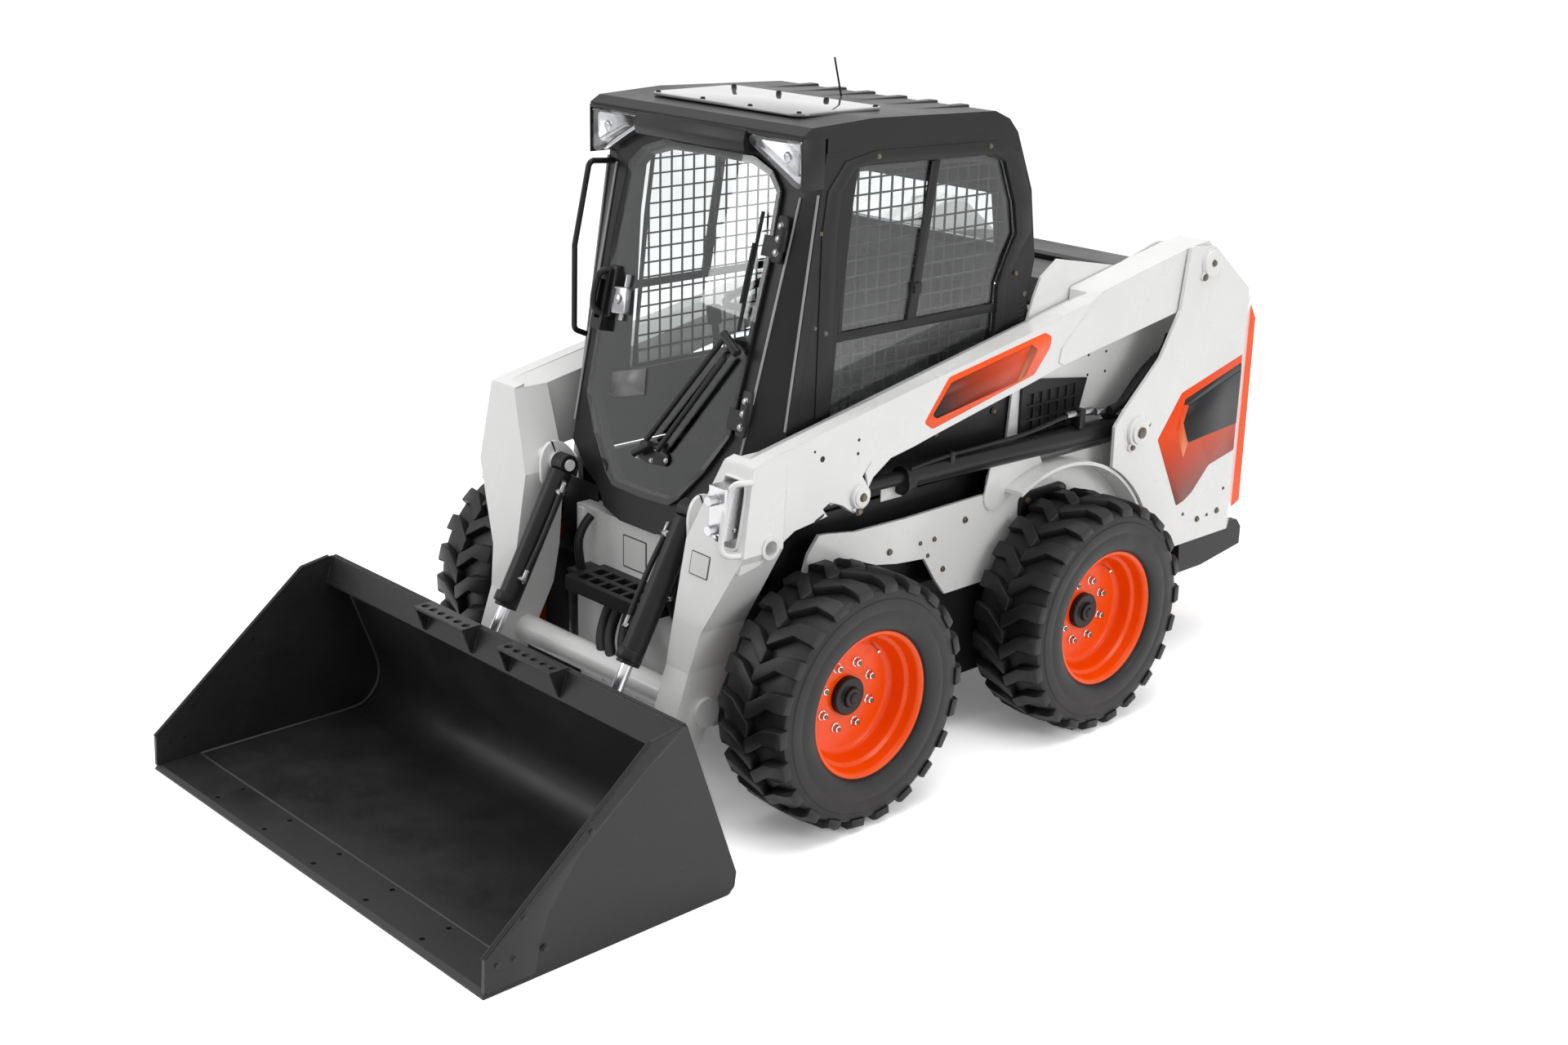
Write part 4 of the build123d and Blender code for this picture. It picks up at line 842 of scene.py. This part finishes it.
def dress_fasteners():
    """Holes and side bolts, and the boss, washer and cap of each pin with their keepers."""
    slot = side_plate("slot", ARM_SLOT, ARM_FACE - 0.4, 1.0, 4, 0)
    on_both("arm_holes", holes(ARM_FACE, ARM_HOLES) + [slot], "arms", "black_paint")
    on_both("tower_holes", holes(INNER_FACE, INNER_HOLES), "chassis", "black_paint")
    boss = [side_disc(ARM_FACE, LIFT_EYE, 36, 13, 40, 3), side_disc(ARM_FACE + 12, LIFT_EYE, 29, 5, 40, 2),
            side_plate("keeper", EYE_KEEPER, ARM_FACE, 8, 5)]
    on_both("lift_eye_boss", boss, "arms", "white_paint")
    heads = side_bolts([(ARM_FACE + 16, *LIFT_EYE), (ARM_FACE + 7, -416, 898)], 11)
    on_both("lift_eye_bolt", heads, "arms", "cast_metal")
    washer = [side_disc(TOWER_FACE, LIFT_BASE, 52, 13, 48, 3),
              side_disc(TOWER_FACE + 12, LIFT_BASE, 40, 8, 48, 2.5)]
    washer += [side_plate("tab", tab, TOWER_FACE, 10, 5) for tab in BASE_TABS]
    on_both("lift_base_washer", washer, "chassis", "white_paint")
    head = side_disc(TOWER_FACE + 19, LIFT_BASE, 19, 9, 32, 3)
    heads = [head] + side_bolts([(TOWER_FACE + 10, 846, 864)], 9)
    on_both("lift_base_bolt", heads, "chassis", "cast_metal")
    on_both("lift_base_tab_bolt", side_bolts([(TOWER_FACE, 929, 929)], 12), "chassis", "black_paint")
    pin_cap = [side_disc(TOWER_FACE + 6, ARM_PIN, 46, 8, 48, 3),
               side_plate("keeper", PIN_KEEPER, TOWER_FACE, 9, 5)]
    on_both("arm_pin_cap", pin_cap, "chassis", "white_paint")
    heads = side_bolts([(TOWER_FACE + 13, *ARM_PIN), (TOWER_FACE + 8, 1174, 1394)], 10)
    on_both("arm_pin_bolts", heads, "chassis", "cast_metal")
    heads = []
    for face, places in ((PLATE_FACE, PLATE_BOLTS), (TOWER_FACE, TOWER_BOLTS)):
        for y, z, radius in places:
            heads += side_bolts([(face, y, z)], radius)
    on_both("side_bolts", heads, "chassis", "cast_metal")


PLATE_TONGUE = [(245, 898), (218, 786), (236, 750), (268, 738), (300, 744), (330, 768), (481, 816),
                (500, 858), (470, 898)]
WHEEL_BRACKET = [(396, 690), (396, 752), (431, 770), (600, 774), (628, 752), (612, 728), (463, 712),
                 (440, 690)]
BLANK_PLATE = [(-233, 866), (-233, 908), (-140, 908), (-140, 866)]


def dress_plates():
    """Tongue and bracket on the side plate, and a blank plate and bolts on the tub."""
    tongue = side_plate("tongue", PLATE_TONGUE, PLATE_FACE - 1, 9, 16, 2)
    on_both("plate_tongue", tongue, "chassis", "white_paint")
    bracket = side_plate("bracket", WHEEL_BRACKET, PLATE_FACE - 1, 15, 12, 2)
    on_both("wheel_bracket", bracket, "chassis", "black_paint")
    heads = side_bolts([(PLATE_FACE + 14, 428, 742), (PLATE_FACE + 14, 594, 752)], 10)
    on_both("bracket_bolts", heads, "chassis", "cast_metal")
    blank = side_plate("blank", BLANK_PLATE, TUB_FACE - 0.5, 1.5, 2, 0.2)
    on_both("blank_plate", blank, "chassis", "white_paint")
    heads = side_bolts([(TUB_FACE - 56, 60, 1010), (TUB_FACE - 56, 330, 1040)], 9)
    on_both("cover_bolts", heads, "chassis", "cast_metal")


# ---- Lift cylinders -----------------------------------------------------
LINE_X = LIFT_MID_X + 20
LINE_ROUTES = {
    LINE_X: [(-150, 962), (-20, 974), (145, 974), (368, 976), (475, 988), (560, 1000), (660, 998),
             (770, 982)],
    LINE_X - 24: [(420, 968), (560, 990), (700, 996), (780, 984)],
}
HOSE_ROUTES = {
    LIFT_MID_X + 24: [(800, 985), (861, 990), (900, 1020), (954, 1066), (1022, 1118), (1080, 1145),
                      (1100, 1200)],
    LIFT_MID_X - 8: [(815, 960), (880, 968), (930, 1005), (985, 1060), (1040, 1095), (1085, 1120)],
}
LONG_CLIP = [(640, 948), (640, 1012), (668, 1014), (668, 950)]
SHORT_CLIP = [(20, 930), (20, 985), (40, 985), (40, 930)]
LINE_FITTINGS = [(690, 1002), (752, 990), (600, 1004)]


def side_pipes(name, routes, radius):
    """Tubes that run in side views: routes of (y, z) by their x."""
    return [row_pipe(name, [(x, y, z) for y, z in route], radius) for x, route in routes.items()]


def dress_lift_cylinders():
    """Steel lines, clips and gland on each lift cylinder, and the formed hoses inside the tower."""
    lines = side_pipes("line", LINE_ROUTES, 7)
    lines.append(side_plate("clip", LONG_CLIP, LIFT_MID_X - 4, 34, 5))
    lines.append(side_plate("clip", SHORT_CLIP, LIFT_MID_X + 6, 24, 4))
    each_side("lift_line", lines, "lift_barrel", "black_paint")
    fittings = [rod("fitting", row(LINE_X, y - 22, z), row(LINE_X, y + 22, z - 2), 12, 6, 1.5)
                for y, z in LINE_FITTINGS]
    each_side("lift_fittings", fittings, "lift_barrel", "steel", "dull_steel")
    gland = rod("gland", row(LIFT_MID_X, -171, 920), row(LIFT_MID_X, -135, 919), 40, 40, 3)
    each_side("lift_gland", gland, "lift_barrel", "black_paint")
    on_both("tower_hoses", side_pipes("hose", HOSE_ROUTES, 15), "chassis", "seal_rubber")


# ---- Bucket -------------------------------------------------------------
CUTTER = [(-1928, 17), (-1924, 108), (-1395, 535), (-1300, 551), (-1275, 549), (-1340, 505), (-1404, 470),
          (-1629, 300), (-1728, 170), (-1758, 83), (-1772, 17)]
CUTTER_BOLTS = [(-1592, 352), (-1805, 185), (-1837, 82), (-1742, 76), (-1889, 84)]
CHEEK_RIM = [(-1925, 110), (-1397, 536), (-1300, 552)]
CHEEK_HOLES = [(-1374, 504), (-1583, 344), (-1795, 179), (-1830, 84), (-1881, 82)]
INNER_WELD = [(-1240, 434), (-1222, 390), (-1146, 184), (-1132, 120), (-1150, 62), (-1196, 22), (-1245, 13),
              (-1500, 13), (-1782, 13)]
LIP_SEAM, HEADER_TOP = (-1786, 15), (-1275, 549)


def across_bucket(name, centre, inset, radius, sides):
    """Tube from cheek to cheek at (y, z), short of them by the inset."""
    half = CHEEK_FACE - inset
    return row_pipe(name, [(-half, *centre), (half, *centre)], radius, sides)


def dress_bucket():
    """Cutter plates with their bolts, rims and holes of the cheeks, welds and the header's rail."""
    cutter = side_plate("cutter", CUTTER, CHEEK_FACE - 1, 4, 0, 1.2)
    on_both("cutter_plates", cutter, "bucket", "bucket_steel")
    rim = [row(CHEEK_FACE - 5, y, z) for y, z in CHEEK_RIM]
    bars = [rod("bar", start, end, 6.5, 12) for start, end in zip(rim, rim[1:])]
    on_both("cheek_rim", bars, "bucket", "bucket_steel")
    weld = row_pipe("weld", [(CHEEK_FACE - 12, y, z) for y, z in INNER_WELD], 5, 6)
    on_both("inner_welds", weld, "bucket", "bucket_steel", "weld_bead")
    heads = side_bolts([(CHEEK_FACE + 2.5, y, z) for y, z in CUTTER_BOLTS], 8)
    on_both("cutter_bolts", heads, "bucket", "bucket_steel")
    dots = [disc(row(CHEEK_FACE - 10, y, z), -OUT, 8, 0.6) for y, z in CHEEK_HOLES]
    on_both("cheek_holes", dots, "bucket", "black_paint")
    finished("edge_weld", across_bucket("seam", LIP_SEAM, 12, 4, 6), "bucket", "bucket_steel", "weld_bead")
    finished("header_rail", across_bucket("rail", HEADER_TOP, 8, 6, 8), "bucket", "bucket_steel")


# ---- Cab ----------------------------------------------------------------
WINDOW_FRAME = [(-462, 1150), (-455, 1688), (-437, 1807), (-369, 1886), (-246, 1908), (283, 1896),
                (392, 1847), (452, 1700), (462, 1600), (408, 1540), (356, 1458), (351, 1150)]
WINDOW_EDGE = [(-405, 1150), (-396, 1690), (-382, 1800), (-330, 1862), (-250, 1872), (270, 1856), (318, 1832),
               (375, 1697), (392, 1600), (350, 1530), (318, 1450), (309, 1150)]
FRAME_BOLTS = [(-237, 1890), (245, 1882), (398, 1475), (-430, 1400)]
WINDOW_BARS = [          # outline and thickness
    ([(-3, 1858), (33, 1858), (-47, 1380), (-83, 1380)], 8),
    ([(-400, 1364), (-400, 1390), (322, 1390), (318, 1364)], 9),
    ([(-372, 1390), (-360, 1600), (-330, 1850), (-316, 1850), (-344, 1600), (-356, 1390)], 7),
]
BELLOWS_FOLDS, FOLD_STEP = 6, 15
CAB_STAY = (452, 1402)


def dress_cab_sides():
    """Window's frame, sliding bars and latch, and the bellows and stay behind it."""
    outer, inner = ([row(CAB_FACE - 0.5, y, z) for y, z in outline]
                    for outline in (WINDOW_FRAME, WINDOW_EDGE))
    ring = round_edges(ring_plate("window_frame", outer, inner, (4, 0, 0)), 1.5)
    on_both("window_frame", ring, "cab", "black_paint")
    heads = side_bolts([(CAB_FACE + 3, y, z) for y, z in FRAME_BOLTS], 6.5)
    on_both("frame_bolts", heads, "cab", "cast_metal")
    glass_x = CAB_FACE - 12
    bars = [side_plate("bar", outline, glass_x, thickness) for outline, thickness in WINDOW_BARS]
    on_both("sliding_window_bars", bars, "cab", "black_paint")
    latch = cube("latch", (glass_x + 2, -62, 1468), (glass_x + 16, -30, 1500), 3)
    on_both("window_latch", latch, "cab", "plastic")
    folds = []
    for number in range(BELLOWS_FOLDS):
        y, z = 448 - number * 3, 1300 + number * FOLD_STEP
        folds.append(rod("fold", row(452, y, z), row(452, y - 2, z + 11), 26, 24, 4))
    on_both("bellows", folds, "cab", "seal_rubber")
    on_both("cab_stay", side_disc(CAB_FACE - 26, CAB_STAY, 17, 20, 24, 3), "cab", "black_paint")
    on_both("cab_stay_bolt", side_bolts([(CAB_FACE - 7, *CAB_STAY)], 10), "cab", "cast_metal")


HATCH_XS, HATCH_YS = (-335, 335), (-420, -70)
RIB_XS = (-330, -200, -70, 70, 200, 330)
HEADER = [(-546, 1896), (-552, 1925), (-540, 1964), (-500, 1964), (-500, 1896)]


def dress_roof():
    """Glossy grey hatch with its bolts on the front half, pressed ribs on the rear half, and the header."""
    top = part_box("cab_roof")[1].z / MM
    (left, right), (front, back) = HATCH_XS, HATCH_YS
    corners = [(left, front), (right, front), (right, back), (left, back)]
    pane = plate("hatch", [row(x, y, top - 4) for x, y in corners], (0, 0, 9), 40, 2)
    finished("roof_hatch", pane, "cab", "black_paint", "skylight")
    ribs = [cube("rib", (x - 20, 0, top - 30), (x + 20, 285, top - 9), 5, 3) for x in RIB_XS]
    finished("roof_ribs", ribs, "cab", "black_paint")
    heads = [row(x, y, top + 5) for x in (-312, -105, 105, 312) for y in (-400, -90)]
    finished("hatch_bolts", bolts(heads, (0, 0, 1), 7), "cab", "black_paint")
    finished("header_bar", side_plate("header", HEADER, -244, 488, 8, 2), "cab", "black_paint")


LAMP_LENS = [(252, 1950), (250, 1926), (332, 1884), (440, 1822), (468, 1822), (468, 1950)]
LAMP_STEP = [(285, 1938), (330, 1908), (436, 1850), (452, 1870), (452, 1938)]


def front_slab(name, outline, y_low, y_high, corner, edge):
    """Block in a front view: outline (x, z), between two values of y."""
    return plate(name, [row(x, y_high, z) for x, z in outline], (0, y_low - y_high, 0), corner, edge)


def dress_work_lamps():
    """Bright bowl behind a clear cover, in each roof corner."""
    bowl = front_slab("bowl", LAMP_LENS, -500, -455, 10, 3)
    on_both("lamp_bowl", bowl, "cab", "chrome_rod", "lamp_bowl")
    step = front_slab("step", LAMP_STEP, -520, -499, 14, 8)
    eye = rod("eye", row(400, -498, 1905), row(400, -526, 1900), 15, 24, 5)
    on_both("lamp_reflector", [step, eye], "cab", "chrome_rod", "lamp_bowl")
    hood = cube("hood", (244, -540, 1952), (474, -450, 1962), 3)
    cheek = cube("cheek", (471, -538, 1815), (475, -450, 1960), 1)
    on_both("lamp_shell", [hood, cheek], "cab", "black_paint")
    cover = both_sides(front_slab("cover", LAMP_LENS, -534, -527, 10, 2))
    finished("lamp_cover", cover, "cab", "lens", replaces=("work_lamps",))


# ---- Door ---------------------------------------------------------------
DOOR_LEAN = math.radians(14.1)
DOOR_NORMAL = Vector((0, -math.cos(DOOR_LEAN), math.sin(DOOR_LEAN)))
DOOR_FOOT = (-661.0, 1060.0)           # a (y, z) point that the front plane passes through
GLASS_OUT = 17.0                       # from the front plane out to the glass
WIPER_PIVOT = (270, 1362)
GLASS_SHEET = [(-227, 1176), (-77, 1216), (-62, 1138), (-212, 1098)]
WIPER_FOOT = [(-42, 962), (-30, 1012), (60, 1014), (104, 988), (98, 958), (20, 950)]
WIPER_NUTS = [(-32, 960), (32, 962), (44, 1000), (96, 976)]
HINGE_TOPS = (1704, 1212)
HINGE_LEAF = [(362, 26), (400, 26), (408, -40), (400, -106), (362, -106)]          # z from the hinge's top
GRIP = [(-300, 1470, 18), (-322, 1474, 62), (-326, 1400, 70), (-322, 1336, 62), (-296, 1332, 18)]
GRIP_BASE = [(-326, 1484), (-282, 1488), (-276, 1330), (-318, 1326)]
LOCK = [(-276, 1426), (-208, 1432), (-196, 1352), (-264, 1346)]


def on_door(x, z, out=0.0):
    """Point on the leaning front plane at a height, out in front of it (all in millimetres)."""
    y = DOOR_FOOT[0] + (z - DOOR_FOOT[1]) * math.tan(DOOR_LEAN)
    return row(x, y, z) + DOOR_NORMAL * out * MM


def door_plate(name, outline, out, thickness, corner=0, edge=2.0):
    """Sheet on the door: outline (x, z), standing out from the glass."""
    points = [on_door(x, z, GLASS_OUT + out) for x, z in outline]
    return plate(name, points, DOOR_NORMAL * thickness, corner, edge)


def door_rod(name, start, end, radius, sides=16, edge=0.0):
    """Rod between two places (x, z, out from the glass)."""
    start, end = (on_door(x, z, GLASS_OUT + out) for x, z, out in (start, end))
    return rod(name, start, end, radius, sides, edge)


def door_bolts(places, out, radius):
    return bolts([on_door(x, z, GLASS_OUT + out) for x, z in places], DOOR_NORMAL, radius)


def dress_wiper():
    x, z = WIPER_PIVOT
    wiper = [door_rod("blade", (x + 30, 1730, 10), (x + 30, 1392, 14), 6, 12),
             door_rod("holder", (x + 30, 1640, 22), (x + 28, 1470, 24), 5, 12),
             door_rod("link", (x - 6, z + 8, 26), (12, 1018, 24), 9),
             door_rod("link", (x + 10, z - 50, 26), (70, 1000, 24), 9),
             door_rod("carrier", (x - 14, z + 14, 28), (x + 60, z - 30, 28), 14, 16, 2),
             door_plate("foot", WIPER_FOOT, -1, 9, 8),
             door_rod("spring", (40, 1012, 30), (-30, 968, 26), 12, 16, 2)]
    finished("wiper", wiper, "door", "black_paint")
    finished("wiper_nuts", door_bolts(WIPER_NUTS, 7, 7), "door", "steel", "dull_steel")


def dress_door():
    """Blank sheet, wiper, hinges, handle and lock on the front door."""
    sheet = door_plate("sheet", GLASS_SHEET, -0.5, 1, 3, 0.2)
    finished("glass_sheet", sheet, "door", "plastic", "clear_sheet")
    dress_wiper()
    for number, top in enumerate(HINGE_TOPS, 1):
        hinge = [door_plate("leaf", [(x, top + z) for x, z in HINGE_LEAF], -2, 9, 8),
                 door_rod("barrel", (398, top - 8, 8), (400, top - 72, 8), 13, 20, 2)]
        finished(f"door_hinge_{number}", hinge, "door", "black_paint")
        heads = door_bolts([(378, top - fall) for fall in (4, 40, 78)], 6, 9)
        finished(f"hinge_bolts_{number}", heads, "door", "steel", "dull_steel")
    grip = pipe("grip", [on_door(*place) for place in GRIP], 10, 10)
    finished("door_handle", grip, "door", "plastic")
    finished("handle_base", door_plate("base", GRIP_BASE, -2, 16, 10, 4), "door", "plastic")
    lock = [door_plate("lock", LOCK, -2, 26, 10, 4),
            door_rod("lock_pin", (-232, 1468, 4), (-230, 1330, 4), 10, 16, 2),
            disc(on_door(-238, 1392, GLASS_OUT + 24), DOOR_NORMAL, 16, 8, 20, 2)]
    finished("door_lock", lock, "door", "steel", "dull_steel")


def dress_posts():
    """Pale grey strips down the corner posts, a painted reflection along each post's edge."""
    # pale grey rods that paint the reflection along the posts' edges
    strips = [rod("strip", row(CAB_FACE - 4, -468, 1800), row(CAB_FACE - 4, -576, 1130), 4, 10),
              rod("strip", on_door(412, 1786, 3), on_door(380, 1000, 3), 4, 10)]
    on_both("post_reflection_strips", strips, "cab", "chrome_rod", "post_painted_reflection")
    heads = side_bolts([(CAB_FACE - 1, -455, 1690), (CAB_FACE - 1, -470, 1420)], 6)
    on_both("post_bolts", heads, "cab", "cast_metal")


# ---- Seat ---------------------------------------------------------------
SWELL_CAP = 0.012                      # most that the cloth may move a point, in metres
SWELL_FRAMES = 20
CUSHION_PRESSURE = 4.0


def stuffed(name, low, high, edge):
    """Cushion between two corners (millimetres), swelled by cloth under pressure and capped."""
    cushion = cube(name, low, high, edge, 4)
    modify(cushion, "REMESH", mode="VOXEL", voxel_size=0.006)
    before = [vertex.co.copy() for vertex in cushion.data.vertices]
    cloth = cushion.modifiers.new("cloth", "CLOTH")
    cloth.settings.use_pressure = True
    cloth.settings.uniform_pressure_force = CUSHION_PRESSURE
    cloth.settings.effector_weights.gravity = 0.0
    cloth.point_cache.frame_start, cloth.point_cache.frame_end = 1, SWELL_FRAMES
    for number in range(1, SWELL_FRAMES + 1):
        bpy.context.scene.frame_set(number)
    pick(cushion)
    bpy.ops.object.modifier_apply(modifier=cloth.name)
    bpy.context.scene.frame_set(1)
    bottom = low[2] * MM
    for vertex, start in zip(cushion.data.vertices, before):
        step = vertex.co - start
        if step.length > SWELL_CAP:
            vertex.co = start + step.normalized() * SWELL_CAP
        vertex.co.z = max(vertex.co.z, bottom)
    modify(cushion, "SMOOTH", factor=0.5, iterations=2)
    return modify(cushion, "SUBSURF", levels=1)


def dress_seat():
    """Two cushions with a piping round the lower one, on a moulded shell."""
    low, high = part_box("seat")
    front, back = low.y / MM - MID_Y, high.y / MM - MID_Y
    bottom, top = low.z / MM, high.z / MM
    cushions = {
        "seat_cushion": ((-208, front + 16, bottom + 1), (208, back - 118, bottom + 66)),
        "seat_back": ((-180, back - 84, bottom + 90), (180, back - 30, top - 130)),
    }
    for name, (start, end) in cushions.items():
        cushion = finished(name, stuffed(name, start, end, 22), "cab", "seat_vinyl", replaces=("seat",),
                           smooth=math.radians(60))
    corners = ((-218, front + 8), (218, front + 8), (218, back - 112), (-218, back - 112), (-218, front + 8))
    bead = row_pipe("piping", [(x, y, bottom + 40) for x, y in corners], 4)
    finished("seat_piping", bead, "cab", "seat_vinyl")
    shell = [cube("shell", (-180, back - 30, bottom + 1), (180, back - 12, top - 150), 8, 3),
             cube("pan", (-190, front + 20, bottom + 0.5), (190, back - 20, bottom + 8), 3)]
    finished("seat_shell", shell, "cab", "plastic")


# ---- Front of the arms and chassis --------------------------------------
LEG_FRONT, LEG_TOP_Z, KNEE_Z = -828.0, 1100.0, 852.0       # the front plate turns into the leg at the knee
LEG_SLOPE, KNEE_SLOPE = 0.1694, 0.0128
GUARD = [(612, 1062, -6), (611, 1066, 24), (594, 1064, 44), (580, 1036, 48), (577, 963, 50), (577, 890, 48),
         (588, 864, 44), (609, 858, 24), (611, 858, -6)]
POCKET_RIM = [(512, 1064), (590, 1066), (600, 1050), (599, 880), (588, 866), (512, 866), (500, 880),
              (499, 1050), (512, 1064)]
COUPLINGS = [            # name, start and end (x, z, out), radius, sides, edge
    ("hex", (552, 978, -8), (550, 976, 24), 17, 6, 2),
    ("hex", (564, 1036, -16), (562, 1034, 12), 20, 4, 3),
    ("nose", (562, 910, -6), (552, 902, 40), 14, 28, 2),
    ("collar", (560, 909, 2), (556, 906, 16), 17, 6, 2),
    ("plug", (578, 925, -20), (578, 925, 14), 11, 24, 2),
]
COUPLING_SEALS = [
    ("ring", (552.2, 902.2, 39), (551.4, 901.5, 43), 10, 24, 1.5),
    ("ring", (578, 925, 13), (578, 925, 17), 8, 24, 1.5),
    ("ring", (550, 976, 23), (550, 976, 28), 8, 24, 1.5),
]
TILT_LUG = [(-835, 816), (-839, 904), (-817, 952), (-773, 960), (-731, 934), (-687, 874), (-723, 834)]


def on_leg(x, z, out=0.0):
    """Point on the front face of the left arm, out in front of it."""
    y = LEG_FRONT - (LEG_TOP_Z - z) * LEG_SLOPE - max(0.0, KNEE_Z - z) * KNEE_SLOPE - out
    return row(x, y, z)


def leg_rods(table):
    return [rod(name, on_leg(*start), on_leg(*end), *sizes) for name, start, end, *sizes in table]


def dress_coupler():
    """Guard, rim, fittings and seals of the coupler's pocket, and the lugs of the tilt cylinders."""
    guard = pipe("guard", [on_leg(*place) for place in GUARD], 9, 12)
    finished("coupler_guard", guard, "arms", "white_paint")
    rim = pipe("rim", [on_leg(x, z, 1) for x, z in POCKET_RIM], 5, 8)
    finished("pocket_rim", rim, "arms", "white_paint")
    finished("coupler_fittings", leg_rods(COUPLINGS), "arms", "steel", "dull_steel")
    finished("coupler_seals", leg_rods(COUPLING_SEALS), "arms", "seal_rubber")
    on_both("tilt_lugs", side_plate("lug", TILT_LUG, TILT_MID_X + 46, 12, 24, 2), "arms", "white_paint")


def blank_sign(name, corners, normal, body):
    """Pale plate with a thin dark border, both left blank."""
    normal = Vector(normal).normalized()
    centre = sum(corners, Vector()) / len(corners)
    border = plate(f"{name}_border", [corner - normal * 0.5 * MM for corner in corners], normal * 1.4, 4, 0)
    inner = [centre + (corner - centre) * 0.93 + normal * 0.6 * MM for corner in corners]
    field = plate(name, inner, normal * 0.8, 3, 0)
    finished(f"{name}_border", border, body, "black_paint", "sign_border", smooth=0.01)
    finished(name, field, body, "plastic", "pale_sheet", smooth=0.01)


LEG_SIGN = [(417, 826), (496, 824), (496, 757), (417, 759)]
PANEL_SIGN = [(-97, 702), (16, 702), (16, 597), (-97, 597)]
PANEL_SIGN_Y = -712.5
FRONT_HOSES = [[(190, -718, 740), (190, -760, 720), (196, -780, 640), (200, -775, 560), (205, -740, 500)],
               [(225, -730, 750), (262, -790, 760), (250, -800, 680), (236, -780, 600), (232, -740, 520)],
               [(-235, -730, 730), (-240, -775, 690), (-236, -780, 600), (-226, -765, 520)]]
LOWER_HOSES = [[(-60, -790, 505), (-40, -850, 440), (10, -880, 370), (60, -900, 320)],
               [(-20, -790, 505), (0, -850, 445), (50, -880, 380), (100, -905, 335)],
               [(10, -770, 500), (40, -830, 440), (90, -860, 370), (120, -890, 330)]]


def dress_front():
    """Blank signs, hoses, black sheets that paint the shade behind the front panel and hide the rim there,
    and the hanging strap round the front step.
    """
    blank_sign("leg_sign", [on_leg(x, z, 0.8) for x, z in LEG_SIGN], (0, -1, 0.16), "arms")
    blank_sign("panel_sign", [row(x, PANEL_SIGN_Y, z) for x, z in PANEL_SIGN], (0, -1, 0), "chassis")
    hoses = [row_pipe("hose", route, 14) for route in FRONT_HOSES]
    finished("front_hoses", hoses, "chassis", "seal_rubber")
    # black sheets painted where there is only shade behind the front panel; they also hide the orange rim
    # behind
    shade = [cube("shade", (-470, -660, 330), (-290, -655, 800), 1),
             cube("shade", (66, -660, 330), (470, -655, 700), 1)]
    finished("shade_stand_in_sheets", shade, "chassis", "black_paint")
    finished("panel_edge", cube("edge", (-322, -716, 503), (-290, -660, 738), 6, 3), "chassis", "white_paint")
    clamp = rod("clamp", row(200, -776, 588), row(200, -776, 602), 19, 20, 2)
    finished("hose_clamps", clamp, "chassis", "chrome_rod")
    strap = [cube("strap", (-262, -800, 330), (-240, -792, 560), 2),
             cube("strap", (-268, -800, 555), (-200, -700, 565), 2)]
    finished("hanging_strap", strap, "chassis", "black_paint")
    hoses = [row_pipe("hose", route, 17) for route in LOWER_HOSES]
    finished("lower_hoses", hoses, "chassis", "seal_rubber")


# ---- Tilt cylinders -----------------------------------------------------
BARREL_END = 0.03                      # from the barrel's box in to the middle of its end
PORT_SHARES = (0.18, 0.80)             # places of the ports along the barrel


def dress_tilt_cylinders():
    """Port blocks, short fittings, gland and hose on the tilt cylinders."""
    low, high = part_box("tilt_barrel_left")
    foot = Vector((TILT_MID_X * MM, high.y - BARREL_END, high.z - BARREL_END))
    mouth = Vector((TILT_MID_X * MM, low.y + BARREL_END, low.z + BARREL_END))
    run = (mouth - foot).normalized() * MM
    side = -OUT * MM
    ahead = Vector((0, -1, 0)) * MM
    fittings = []
    for share in PORT_SHARES:
        place = foot.lerp(mouth, share) + side * 34 + ahead * 12
        fittings.append(rod("port", place, place + side * 22, 12, 6, 1.5))
        fittings.append(rod("elbow", place + side * 18, place + side * 18 - run * 34, 9, 16, 2))
    each_side("tilt_fittings", fittings, "tilt_barrel", "steel", "dull_steel")
    each_side("tilt_gland", rod("gland", mouth - run * 34, mouth, 39, 40, 3), "tilt_barrel", "black_paint")
    start = foot.lerp(mouth, PORT_SHARES[1]) + side * 52 + ahead * 12 - run * 34
    end = foot.lerp(mouth, 0.10) + side * 44 + ahead * 10
    middle = start.lerp(end, 0.5) + side * 14
    each_side("tilt_hose", pipe("hose", [start, middle, end], 9), "tilt_barrel", "seal_rubber")


for dress in (dress_wheels, dress_panels, dress_fasteners, dress_plates, dress_lift_cylinders, dress_bucket,
              dress_cab_sides, dress_roof, dress_work_lamps, dress_door, dress_posts, dress_seat,
              dress_coupler, dress_front, dress_tilt_cylinders):
    dress()
drop(BOLT)
